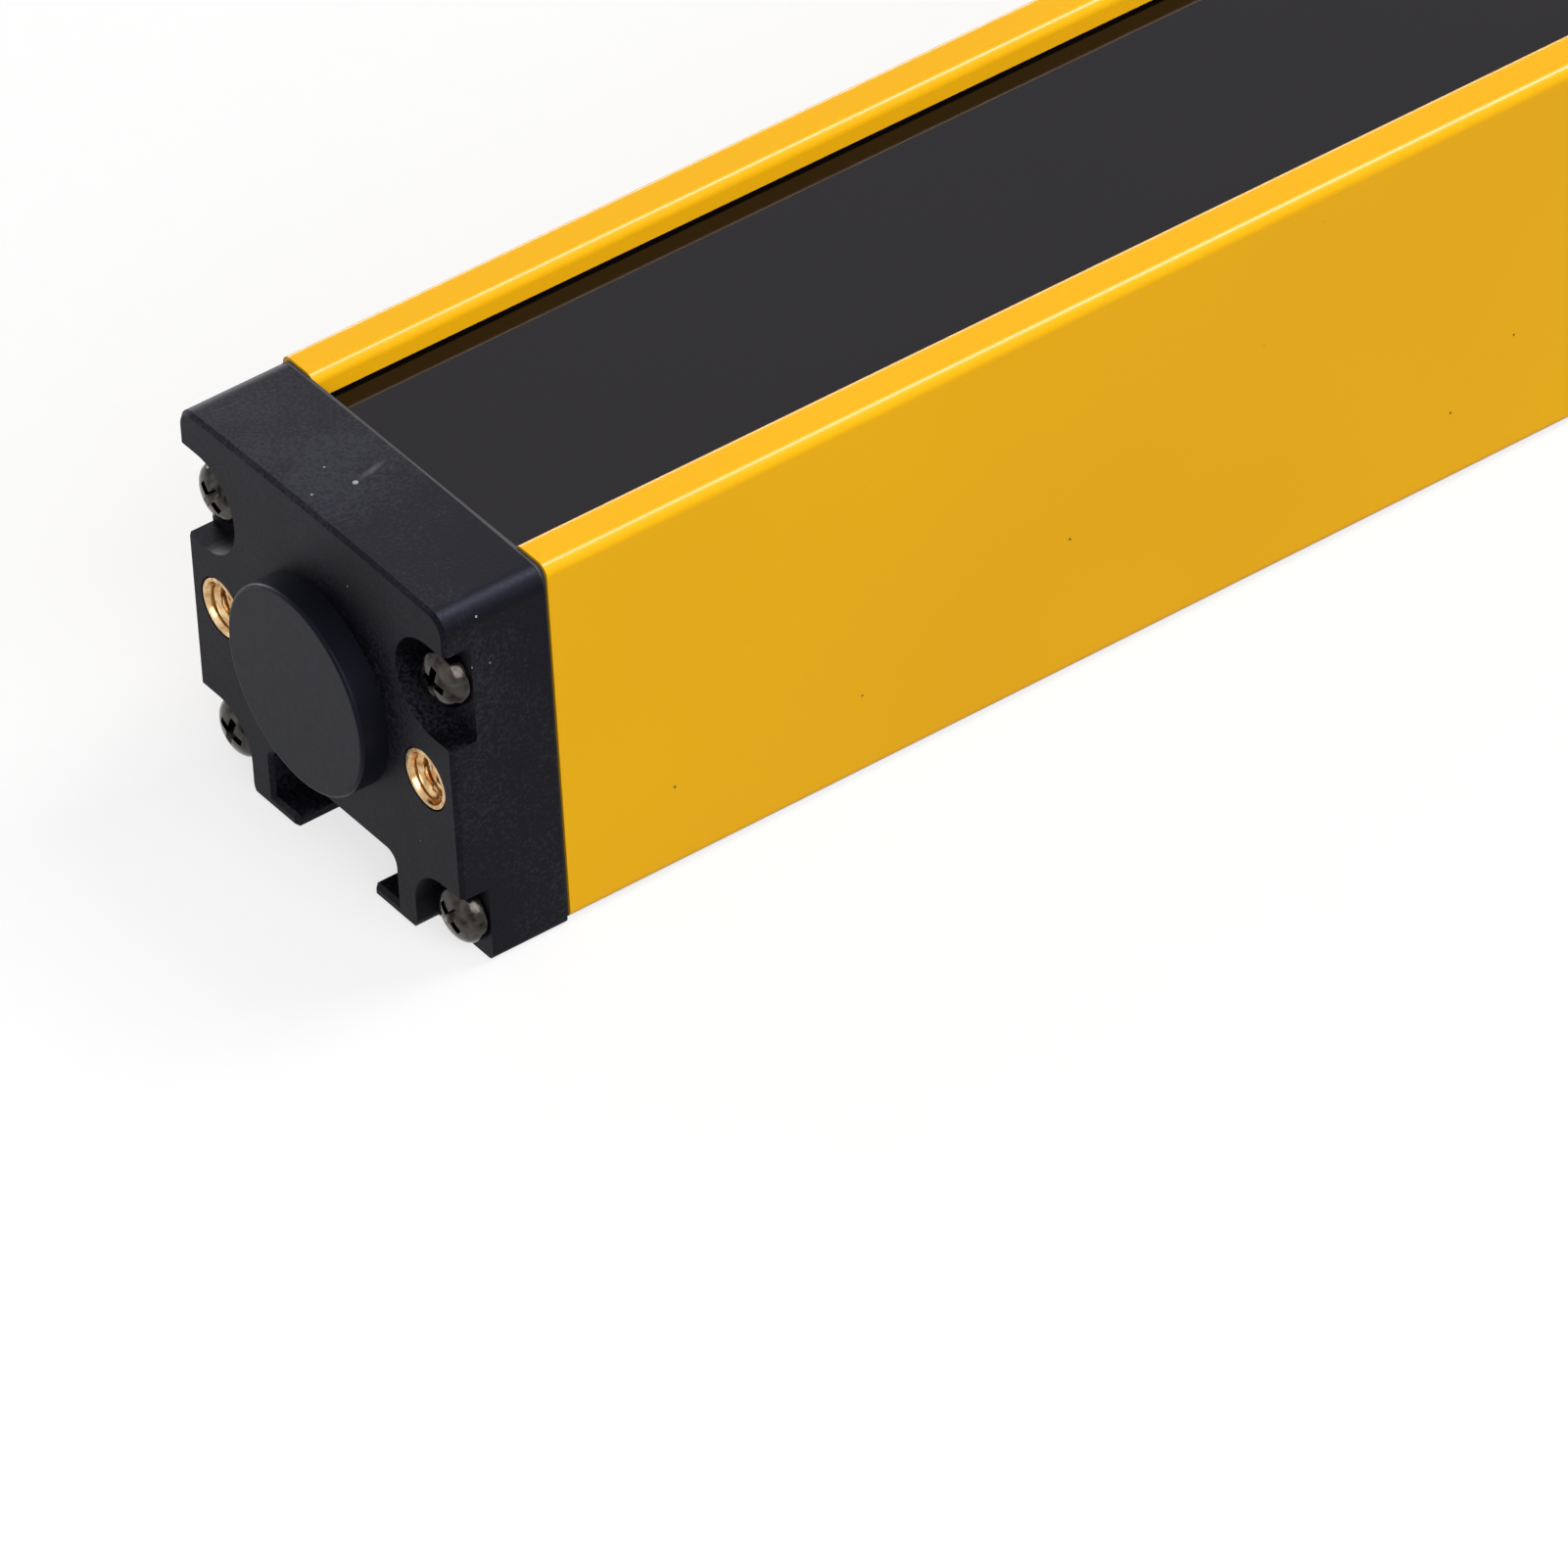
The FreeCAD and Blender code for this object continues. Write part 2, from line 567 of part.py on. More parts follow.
def make_cap(end, face, turned):
    """A moulded end cap: outer face at its own X = 0, spigot pointing into the housing."""
    body = new_body("end_cap_" + end)
    half = pad(body, outline(body, "YZ_Plane", "CapSection", cap_outline()), "CapPad", "cap_depth")
    whole = mirror_body(body, [half])
    doc.recompute()
    edge = body.newObject("PartDesign::Chamfer", "FaceEdge")
    edge.Base = (whole, edges_of(whole, lambda item: item.BoundBox.XMax < 1e-6))
    edge.setExpression("Size", bound("cap_edge"))
    doc.recompute()

    spigot = outline(body, "YZ_Plane", "SpigotSection", box_corners(
        "-spigot_half", "spigot_half", "spigot_base", "spigot_top", "spigot_corner"), "cap_depth")
    pad(body, spigot, "Spigot", "gasket_thickness + spigot_reach")
    space = outline(body, "YZ_Plane", "SpaceSection", box_corners(
        "spigot_wall - spigot_half", "spigot_half - spigot_wall",
        "space_base", "space_top", "spigot_corner"), "cap_front_wall")
    pocket(body, space, "WiringSpace", "cap_depth + gasket_thickness + spigot_reach - cap_front_wall")

    past_side = "cap_half + cap_edge"
    upper_low = "upper_pocket_height - upper_pocket_radius"
    upper_high = "upper_pocket_height + upper_pocket_radius"
    upper = outline(body, "YZ_Plane", "UpperRecess", [
        at(past_side, upper_low),
        at(past_side, upper_high),
        at("upper_pocket_side", upper_high),
        at("upper_pocket_side - upper_pocket_radius", "upper_pocket_height",
           arc="upper_pocket_radius", turn=1),
        at("upper_pocket_side", upper_low, arc="upper_pocket_radius", turn=1),
    ])
    upper_cut = pocket(body, upper, "UpperRecessCut", "pocket_depth")

    lower_wall = "lower_pocket_side - lower_pocket_radius"
    lower_high = "lower_pocket_height + lower_pocket_radius"
    lower = outline(body, "YZ_Plane", "LowerRecess", [
        at(past_side, "-cap_edge"),
        at(past_side, lower_high),
        at("lower_pocket_side", lower_high),
        at(lower_wall, "lower_pocket_height", arc="lower_pocket_radius", turn=1),
        at(lower_wall, "foot_edge"),
        at(lower_wall + " - foot_edge", "0", arc="foot_edge", turn=-1),
        at(lower_wall + " - foot_edge", "-cap_edge"),
    ])
    lower_cut = pocket(body, lower, "LowerRecessCut", "pocket_depth")

    holes = new_sketch(body, "YZ_Plane", "ScrewHoles")
    circle(holes, "screw_side", "upper_screw_height", "screw_radius + screw_play")
    circle(holes, "screw_side", "lower_screw_height", "screw_radius + screw_play")
    hole_cut = pocket(body, holes, "ScrewHoleCut", "cap_depth")
    seat = new_sketch(body, "YZ_Plane", "InsertHole")
    circle(seat, "insert_side", "insert_height", "insert_radius")
    seat_cut = pocket(body, seat, "InsertHoleCut", "cap_depth")
    mirror_body(body, [upper_cut, lower_cut, hole_cut, seat_cut], "OtherSide")

    bore = new_sketch(body, "YZ_Plane", "MiddleOpening")
    circle(bore, "0", "bore_height", "bore_radius")
    body.Tip = pocket(body, bore, "MiddleOpeningCut", "cap_front_wall")
    place(body, face, turned=turned)
    return body


def make_gasket(end, face, turned):
    """The flat gasket between a cap and the housing, open round the spigot."""
    body = new_body("cap_gasket_" + end)
    base = "cap_proud + gasket_inset"
    edge = "outer_half - gasket_inset"
    top = "housing_top - gasket_inset"
    section = outline(body, "YZ_Plane", "GasketSection", [
        at("0", "slot_ceiling + gasket_inset"),
        at("slot_half + gasket_inset", "slot_ceiling + gasket_inset"),
        at("slot_half + gasket_inset", base),
        at(edge, base),
        at(edge, top, "rail_corner"),
        at("0", top),
        at("0", "spigot_top + spigot_play / 2"),
        at("spigot_half + spigot_play / 2", "spigot_top + spigot_play / 2"),
        at("spigot_half + spigot_play / 2", "spigot_base - spigot_play / 2"),
        at("0", "spigot_base - spigot_play / 2"),
    ], "cap_depth")
    half = pad(body, section, "GasketPad", "gasket_thickness")
    doc.recompute()
    holes = new_sketch(body, "YZ_Plane", "GasketHoles", "cap_depth")
    for height in ("upper_screw_height", "lower_screw_height"):
        circle(holes, "screw_side", height, "screw_radius + screw_play")
    cut = pocket(body, holes, "GasketHoleCut", "gasket_thickness")
    mirror_body(body, [half, cut])
    place(body, face, turned=turned)
    return body


def make_cap_screw(end, face, turned, corner, side, height):
    """A pan head screw in a recess of the cap, reaching into a port of the housing."""
    body = new_body(f"cap_screw_{end}_{corner}")
    head_edge = "pocket_depth - screw_head_rim"
    head_top = "pocket_depth - screw_head_height"
    rise = "(screw_head_height - screw_head_rim)"
    dome = f"(screw_head_radius ^ 2 + {rise} ^ 2) / (2 * {rise})"
    profile = outline(body, "XZ_Plane", "ScrewProfile", [
        at(head_top, "0"),
        at(head_edge, "screw_head_radius", arc=dome, turn=-1),
        at("pocket_depth", "screw_head_radius"),
        at("pocket_depth", "screw_radius"),
        at("pocket_depth + screw_length", "screw_radius"),
        at("pocket_depth + screw_length", "0"),
    ])
    turn_about(body, profile, "ScrewTurning", "H_Axis")
    place(body, face, side, height, turned)
    return body


def make_insert(end, face, turned, name, side):
    """A brass M4 insert moulded into the cap."""
    body = new_body(f"threaded_insert_{end}_{name}")
    profile = outline(body, "XZ_Plane", "InsertProfile", [
        at("0", "insert_bore"),
        at("0", "insert_radius"),
        at("insert_length", "insert_radius"),
        at("insert_length", "insert_bore"),
    ])
    turn_about(body, profile, "InsertTurning", "H_Axis")
    place(body, face, side, "insert_height", turned)
    return body


def make_blanking_plug():
    """The disc that closes the near cap's middle opening, with its snap barb behind."""
    body = new_body("blanking_plug")
    shank = "bore_radius - bore_play"
    barb_start = "cap_front_wall + bore_play"
    barb_end = "cap_front_wall + bore_play + plug_barb_length"
    profile = outline(body, "XZ_Plane", "PlugProfile", [
        at("-plug_proud", "0"),
        at("-plug_proud", "plug_radius", "plug_edge"),
        at("0", "plug_radius"),
        at("0", shank),
        at(barb_start, shank),
        at(barb_start, "bore_radius + plug_barb"),
        at(barb_end, shank + " - plug_barb"),
        at(barb_end, "0"),
    ])
    turn_about(body, profile, "PlugTurning", "H_Axis")
    place(body, "near_face", "0", "bore_height")
    return body


# -------------------------------------------------------------- M12 inlet

def make_inlet_shell():
    """The threaded metal shell of the inlet, flange outside the far cap's front wall."""
    body = new_body("inlet_shell")
    tail_end = "inlet_rear"
    seal_inner = "ring_radius - ring_section"
    seal_outer = "ring_radius + ring_section"
    seal_depth = "-(2 * ring_section - ring_squeeze)"
    neck = "-(inlet_flange_height + inlet_neck_length)"
    profile = outline(body, "XZ_Plane", "ShellProfile", [
        at("-inlet_reach", "inlet_bore"),
        at("-inlet_reach", "inlet_thread_radius - inlet_chamfer"),
        at("inlet_chamfer - inlet_reach", "inlet_thread_radius"),
        at(neck, "inlet_thread_radius"),
        at(neck, "inlet_neck_radius"),
        at("-inlet_flange_height", "inlet_neck_radius"),
        at("-inlet_flange_height", "inlet_flange_radius"),
        at("0", "inlet_flange_radius"),
        at("0", seal_outer),
        at(seal_depth, seal_outer),
        at(seal_depth, seal_inner),
        at("0", seal_inner),
        at("0", "inlet_thread_radius"),
        at(tail_end, "inlet_thread_radius"),
        at(tail_end, "inlet_bore"),
    ])
    turn_about(body, profile, "ShellTurning", "H_Axis")
    place(body, "far_face", "0", "bore_height", True)
    return body


def make_inlet_seal():
    """The ring in the groove of the inlet's flange, flattened against the cap."""
    body = new_body("inlet_seal")
    depth = "-(2 * ring_section - ring_squeeze)"
    profile = outline(body, "XZ_Plane", "SealProfile", [
        at(depth, "ring_radius - ring_section"),
        at(depth, "ring_radius + ring_section"),
        at("0", "ring_radius + ring_section"),
        at("0", "ring_radius - ring_section"),
    ])
    turn_about(body, profile, "SealTurning", "H_Axis")
    place(body, "far_face", "0", "bore_height", True)
    return body


def make_inlet_core():
    """The block that holds the contacts inside the inlet's shell."""
    body = new_body("inlet_contact_block")
    radius = "inlet_bore - inlet_core_play"
    sketch = new_sketch(body, "YZ_Plane", "BlockSection", "inlet_core_recess - inlet_reach")
    circle(sketch, "0", "0", radius)
    pad(body, sketch, "Block",
        "inlet_reach - inlet_core_recess + inlet_rear + inlet_core_tail")
    doc.recompute()
    holes = new_sketch(body, "YZ_Plane", "ContactHoles", "inlet_core_recess - inlet_reach")
    circle(holes, "0", "0", "contact_radius")
    for across, up in CONTACT_PLACES:
        circle(holes, across, up, "contact_radius")
    body.Tip = pocket(body, holes, "ContactHoleCut",
                      "inlet_reach - inlet_core_recess + inlet_rear + inlet_core_tail")
    place(body, "far_face", "0", "bore_height", True)
    return body


HALF_CIRCLE = "contact_circle / sqrt(2)"
CONTACT_PLACES = (
    (HALF_CIRCLE, HALF_CIRCLE),
    ("-" + HALF_CIRCLE, HALF_CIRCLE),
    ("-" + HALF_CIRCLE, "-" + HALF_CIRCLE),
    (HALF_CIRCLE, "-" + HALF_CIRCLE),
)


def make_contact(number, across, up):
    """One pin of the inlet, with a tapered nose."""
    body = new_body(f"inlet_contact_{number}")
    nose = "inlet_core_recess - inlet_reach - contact_reach"
    tail = "inlet_rear + inlet_core_tail + contact_tail"
    profile = outline(body, "XZ_Plane", "ContactProfile", [
        at(nose, "0"),
        at(nose, "contact_radius / 2"),
        at(nose + " + contact_radius / 2", "contact_radius"),
        at(tail, "contact_radius"),
        at(tail, "0"),
    ])
    turn_about(body, profile, "ContactTurning", "H_Axis")
    place(body, "far_face", across, f"bore_height + {up}", True)
    return body


def make_lock_nut():
    """The hexagon nut that holds the inlet from inside the cap."""
    body = new_body("inlet_lock_nut")
    sketch = new_sketch(body, "YZ_Plane", "NutSection", "cap_front_wall")
    corner = "nut_across_half * 2 / sqrt(3)"
    draw(sketch, [
        at(corner, "0"),
        at(f"{corner} / 2", "nut_across_half"),
        at(f"-{corner} / 2", "nut_across_half"),
        at(f"-{corner}", "0"),
        at(f"-{corner} / 2", "-nut_across_half"),
        at(f"{corner} / 2", "-nut_across_half"),
    ])
    circle(sketch, "0", "0", "inlet_thread_radius + thread_play")
    pad(body, sketch, "Nut", "nut_height")
    place(body, "far_face", "0", "bore_height", True)
    return body


# ----------------------------------------------------------------- optics

def make_circuit_board():
    """The board between the ribs of the housing, drilled for the carrier screws."""
    body = new_body("circuit_board")
    sketch = new_sketch(body, "XY_Plane", "BoardOutline")
    draw(sketch, box_corners("-board_length / 2", "board_length / 2", "-board_half", "board_half"))
    for along in gaps_between_beams():
        circle(sketch, along, "0", "board_screw_radius + thread_play")
    pad(body, sketch, "Board", "board_thickness")
    place(body, "housing_middle", "0", "board_height")
    return body


def make_lens_carrier():
    """The black moulding on the board, with one light well for each beam."""
    body = new_body("lens_carrier")
    first = "-(beam_count - 1) * beam_pitch / 2"
    height = "(carrier_top - board_top)"
    seat = "(lens_seat - board_top)"
    block = outline(body, "XY_Plane", "CarrierOutline", box_corners(
        "-carrier_length / 2", "carrier_length / 2", "-carrier_half", "carrier_half",
        "carrier_corner"))
    pad(body, block, "CarrierBlock", height)
    before = body_volume(body)
    well = outline(body, "XZ_Plane", "LightWell", [
        at(first, "0"),
        at(f"{first} + well_base_radius", "0"),
        at(f"{first} + well_top_radius", seat),
        at(f"{first} + lens_radius + lens_play", seat),
        at(f"{first} + lens_radius + lens_play", height),
        at(first, height),
    ])
    wells = turn_at_first_beam(body, well, "LightWellTurning", first, "PartDesign::Groove")
    well_row = row_of(body, [wells], "LightWellRow", "beam_pitch", "beam_count")
    doc.recompute()
    require_cut(before, well_row)

    threads = new_sketch(body, "XY_Plane", "ScrewThreads")
    for along in gaps_between_beams():
        circle(threads, along, "0", "board_screw_radius + thread_play")
    pocket(body, threads, "Threads", "board_screw_length")

    pipes = new_sketch(body, "XY_Plane", "PipeHoles")
    flanges = new_sketch(body, "XY_Plane", "PipeSeats", height)
    for side in ("-status_side", "status_side"):
        circle(pipes, "carrier_length / 2 - status_inset", side, "pipe_radius + pipe_play")
        circle(flanges, "carrier_length / 2 - status_inset", side, "pipe_flange_radius + pipe_play")
    pocket(body, pipes, "PipeHoleCut", height)
    body.Tip = pocket(body, flanges, "PipeSeatCut", "pipe_flange_height", along_normal=False)
    place(body, "housing_middle", "0", "board_top")
    return body


def turn_at_first_beam(body, sketch, name, first, kind="PartDesign::Revolution"):
    """Turn an outline about an upright line drawn at the first beam."""
    start = V(value(first), 0, 0)
    index = sketch.addGeometry(Part.LineSegment(start, start + V(0, 1, 0)), True)
    pin_point(sketch, index, 1, at(first, "0"))
    sketch.addConstraint(Sketcher.Constraint("Vertical", index))
    doc.recompute()
    return turn_about(body, sketch, name, "Axis0", kind)


def beam_place(number):
    """Where a beam crosses the bar."""
    return f"first_beam + {number} * beam_pitch"


def gaps_between_beams():
    """The places midway between neighbouring beams, from the middle of the housing."""
    return [f"({number} - beam_count / 2) * beam_pitch"
            for number in range(1, int(value("beam_count")))]


def make_lens(number):
    """A plano-convex lens on the ledge of its light well."""
    body = new_body(f"lens_{number + 1}")
    dome = "(lens_radius ^ 2 + lens_dome ^ 2) / (2 * lens_dome)"
    profile = outline(body, "XZ_Plane", "LensProfile", [
        at("0", "0"),
        at("lens_radius", "0"),
        at("lens_radius", "lens_rim"),
        at("0", "lens_rim + lens_dome", arc=dome, turn=1),
    ])
    turn_about(body, profile, "LensTurning", "V_Axis")
    place(body, beam_place(number), "0", "lens_seat")
    return body


def make_emitter(number):
    """An infrared emitter on the board: a square package and its dome."""
    label = f"infrared_emitter_{number + 1}"
    base = doc.addObject("Part::Box", label + "_base")
    base.setExpression("Length", bound("emitter_base"))
    base.setExpression("Width", bound("emitter_base"))
    base.setExpression("Height", bound("emitter_base_height"))
    place(base, "-emitter_base / 2", "-emitter_base / 2", "0")
    dome = doc.addObject("Part::Sphere", label + "_dome")
    dome.setExpression("Radius", bound("emitter_dome_radius"))
    dome.Angle1 = 0
    place(dome, z="emitter_base_height")
    emitter = doc.addObject("Part::Fuse", label)
    emitter.Base = base
    emitter.Tool = dome
    emitter.Label = label
    place(emitter, beam_place(number), "0", "board_top")
    return emitter


def make_aperture_strip():
    """The thin mask over the lenses, with one round aperture for each beam."""
    body = new_body("aperture_strip")
    sketch = outline(body, "XY_Plane", "StripOutline", box_corners(
        "-carrier_length / 2", "carrier_length / 2", "-carrier_half", "carrier_half"))
    pad(body, sketch, "Strip", "mask_thickness")
    first = new_sketch(body, "XY_Plane", "FirstAperture")
    circle(first, "-(beam_count - 1) * beam_pitch / 2", "0", "mask_aperture")
    cut = pocket(body, first, "ApertureCut", "mask_thickness")
    row_of(body, [cut], "ApertureRow", "beam_pitch", "beam_count")
    place(body, "housing_middle", "0", "carrier_top")
    return body


# ------------------------------------------------------------ electronics

def small_block(label, length, width, height, x, y, z):
    """A rectangular component of the board."""
    block = doc.addObject("Part::Box", label)
    block.Label = label
    block.setExpression("Length", bound(length))
    block.setExpression("Width", bound(width))
    block.setExpression("Height", bound(height))
    return place(block, x, y, z)


def make_controllers():
    """The two controller chips under the board."""
    chips = []
    for number, side in (("1", "-beam_pitch / 2"), ("2", "beam_pitch / 2")):
        chips.append(small_block(
            "controller_chip_" + number, "chip_side", "chip_side", "chip_height",
            f"housing_middle + {side} - chip_side / 2", "-chip_side / 2",
            "board_height - chip_height"))
    return chips


def make_header():
    """The wiring header under the board's inlet end, open towards the inlet."""
    body = new_body("wiring_header")
    block = outline(body, "XY_Plane", "HeaderOutline", box_corners(
        "0", "header_length", "-header_width / 2", "header_width / 2"))
    pad(body, block, "Header", "header_height")
    doc.recompute()
    opening = outline(body, "YZ_Plane", "HeaderOpening", box_corners(
        "header_height / 3 - header_width / 2", "header_width / 2 - header_height / 3",
        "header_height / 3", "header_height * 2 / 3"), "header_length - header_slot")
    body.Tip = pocket(body, opening, "HeaderOpeningCut", "header_slot")
    place(body, "housing_middle + board_length / 2 - header_inset - header_length", "0",
          "board_height - header_height")
    return body


def make_board_screw(number, along):
    """A carrier screw, head under the board and thread in a post of the carrier."""
    body = new_body(f"carrier_screw_{number}")
    profile = outline(body, "XZ_Plane", "CarrierScrewProfile", [
        at("0", "-board_screw_head_height"),
        at("board_screw_head_radius", "-board_screw_head_height"),
        at("board_screw_head_radius", "0"),
        at("board_screw_radius", "0"),
        at("board_screw_radius", "board_screw_length"),
        at("0", "board_screw_length"),
    ])
    turn_about(body, profile, "CarrierScrewTurning", "V_Axis")
    place(body, f"housing_middle + {along}", "0", "board_height")
    return body


def make_status_light(number, side):
    """A status light on the board and the light pipe over it."""
    light = small_block(
        f"status_light_{number}", "status_led_side", "status_led_side", "status_led_height",
        "status_place - status_led_side / 2", f"{side} - status_led_side / 2", "board_top")
    pipe = new_body(f"light_pipe_{number}")
    top = "carrier_top"
    profile = outline(pipe, "XZ_Plane", "PipeProfile", [
        at("0", "board_top + status_led_height + pipe_gap"),
        at("pipe_radius", "board_top + status_led_height + pipe_gap"),
        at("pipe_radius", top + " - pipe_flange_height"),
        at("pipe_flange_radius", top + " - pipe_flange_height"),
        at("pipe_flange_radius", top),
        at("0", top),
    ])
    turn_about(pipe, profile, "PipeTurning", "V_Axis")
    place(pipe, "status_place", side)
    return light, pipe


# ---------------------------------------------------------- the whole bar

def make_parts():
    """Every sub-part of the bar, in the order that it is assembled."""
    parts = [make_housing(), make_window()]
    parts.extend(make_seals())
    for end, face, turned in ENDS:
        parts.append(make_cap(end, face, turned))
        parts.append(make_gasket(end, face, turned))
        for corner, side, height in (
                ("upper_left", "screw_side", "upper_screw_height"),
                ("upper_right", "-screw_side", "upper_screw_height"),
                ("lower_left", "screw_side", "lower_screw_height"),
                ("lower_right", "-screw_side", "lower_screw_height")):
            parts.append(make_cap_screw(end, face, turned, corner, side, height))
        parts.append(make_insert(end, face, turned, "left", "insert_side"))
        parts.append(make_insert(end, face, turned, "right", "-insert_side"))
    parts.append(make_blanking_plug())
    parts.extend([make_inlet_shell(), make_inlet_seal(), make_inlet_core(), make_lock_nut()])
    parts.append(make_contact(1, "0", "0"))
    for number, (across, up) in enumerate(CONTACT_PLACES, start=2):
        parts.append(make_contact(number, across, up))
    parts.extend([make_circuit_board(), make_lens_carrier(), make_aperture_strip()])
    for number in range(int(value("beam_count"))):
        parts.append(make_lens(number))
        parts.append(make_emitter(number))
    parts.extend(make_controllers())
    parts.append(make_header())
    for number, along in enumerate(gaps_between_beams(), start=1):
        parts.append(make_board_screw(number, along))
    parts.extend(make_status_light(1, "-status_side"))
    parts.extend(make_status_light(2, "status_side"))
    return parts


def check_document():
    """Stop if any object of the document failed to compute."""
    for item in doc.Objects:
        if "Invalid" in item.State or "Error" in item.State:
            raise RuntimeError(f"{item.Label} did not compute: {item.State}")


def export(parts):
    """Check every sub-part's shape and write it to its own file."""
    for item in parts:
        if item.Shape.isNull() or not item.Shape.isValid():
            raise RuntimeError(item.Label + " has no valid shape")
        if len(item.Shape.Solids) != 1:
            raise RuntimeError(item.Label + " is not one solid")
    os.makedirs("parts", exist_ok=True)
    for item in parts:
        item.Shape.exportStep(os.path.join("parts", item.Label + ".step"))
        print(f"{item.Label}: {item.Shape.Volume:.1f} mm3")


parts = make_parts()
doc.recompute()
check_document()
export(parts)
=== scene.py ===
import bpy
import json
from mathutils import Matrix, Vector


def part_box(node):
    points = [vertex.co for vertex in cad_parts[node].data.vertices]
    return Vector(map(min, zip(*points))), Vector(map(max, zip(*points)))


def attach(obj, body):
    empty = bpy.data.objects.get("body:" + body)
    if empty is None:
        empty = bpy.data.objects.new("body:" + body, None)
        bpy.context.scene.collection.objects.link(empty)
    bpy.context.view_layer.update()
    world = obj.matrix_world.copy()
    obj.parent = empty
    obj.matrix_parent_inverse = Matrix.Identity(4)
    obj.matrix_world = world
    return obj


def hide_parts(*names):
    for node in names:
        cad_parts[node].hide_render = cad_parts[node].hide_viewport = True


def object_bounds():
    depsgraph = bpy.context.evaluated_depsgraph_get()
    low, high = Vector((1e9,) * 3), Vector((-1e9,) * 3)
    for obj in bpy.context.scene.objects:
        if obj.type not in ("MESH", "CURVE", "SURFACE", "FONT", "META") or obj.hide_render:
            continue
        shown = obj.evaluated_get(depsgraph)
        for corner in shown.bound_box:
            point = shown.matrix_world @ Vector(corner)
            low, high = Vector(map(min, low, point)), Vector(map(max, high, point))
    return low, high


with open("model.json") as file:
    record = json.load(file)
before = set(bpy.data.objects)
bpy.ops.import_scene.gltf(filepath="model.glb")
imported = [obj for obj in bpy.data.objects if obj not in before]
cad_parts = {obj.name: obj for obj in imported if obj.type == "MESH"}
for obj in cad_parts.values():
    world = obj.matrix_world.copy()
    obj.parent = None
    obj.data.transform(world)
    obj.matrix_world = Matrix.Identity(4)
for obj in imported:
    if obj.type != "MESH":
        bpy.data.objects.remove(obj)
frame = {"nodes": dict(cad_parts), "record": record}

"""Dresses the safety light curtain: finishes for every piece of the bar, and the
threads, drives and small edges that its solids leave plain."""

import json
import math

import bmesh
import bpy
from mathutils import Matrix, Vector

bl_info = {
    "name": "Safety light curtain",
    "version": (1, 0, 0),
    "blender": (4, 5, 0),
    "location": "3D View > Sidebar > Light Curtain",
    "description": "Finishes, fastener detail and studio for a safety light curtain bar",
    "category": "Object",
}

CAD_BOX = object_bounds()
MM = 0.001
ENDS = (("near", -1), ("far", 1))
# how far each cap screw is turned, in degrees: a driver stops every one at its own angle
SCREW_STOPS = {"upper_left": 38, "upper_right": 12, "lower_left": 20, "lower_right": 41}
# a thread's height over one pitch: how steeply it climbs, and how much of it stays at the root
FLANK_SLOPE, ROOT_FLAT = 2.6, 0.15

# soft panels: name, direction from the bar, distance and size in metres, and watts
PANELS = (
    ("key_panel", (0.44, -0.12, 0.88), 0.9, (0.3, 0.36), 3.3),
    ("side_panel", (-0.2, -0.8, 0.62), 1.4, (1.4, 0.9), 18.5),
    ("fill_panel", (0.1, 1.0, 0.14), 1.4, (1.4, 0.36), 13.0),
)
EDGE_PANEL = ("edge_panel", (0.46, -0.12, 0.88), 0.9, (0.2, 0.45), 14.0)
# strength of the surroundings as a light, where 1 is white
SOFT_LIGHT = 0.24
# share of white that the paper shows by itself, so that only the shadow is left grey
PAPER_GLOW = 0.72
# the camera, in metres, and its lens in millimetres
CAMERA_PLACE = (-0.62654, -0.83269, 0.79703)
CAMERA_RIGHT = (0.80489, -0.59162, -0.04626)
CAMERA_UP = (0.40099, 0.48476, 0.77732)
SENSOR_WIDTH, FOCAL_LENGTH = 36, 378.16


# ---------------------------------------------------------------- colour

def hex_colour(text):
    """A linear RGBA colour from an sRGB hex value."""
    channels = [int(text[i:i + 2], 16) / 255 for i in (1, 3, 5)]
    linear = [c / 12.92 if c <= 0.04045 else ((c + 0.055) / 1.055) ** 2.4 for c in channels]
    return (*linear, 1.0)


# ------------------------------------------------------------- materials

def add_node(tree, kind, settings=None, inputs=None):
    """Add one node, set its properties, and fill or link its inputs."""
    node = tree.nodes.new(kind)
    for name, value in (settings or {}).items():
        setattr(node, name, value)
    for name, value in (inputs or {}).items():
        if isinstance(value, bpy.types.NodeSocket):
            tree.links.new(value, node.inputs[name])
        else:
            node.inputs[name].default_value = value
    return node


def new_material(name):
    """An empty node material, its node tree, and where its patterns are measured from."""
    material = bpy.data.materials.new(name)
    material.use_nodes = True
    tree = material.node_tree
    tree.nodes.clear()
    place = add_node(tree, "ShaderNodeTexCoord").outputs["Object"]
    return material, tree, place


def per_metre(size_mm):
    """Scale of a pattern whose grains or cells are this many millimetres wide."""
    return 1000.0 / size_mm


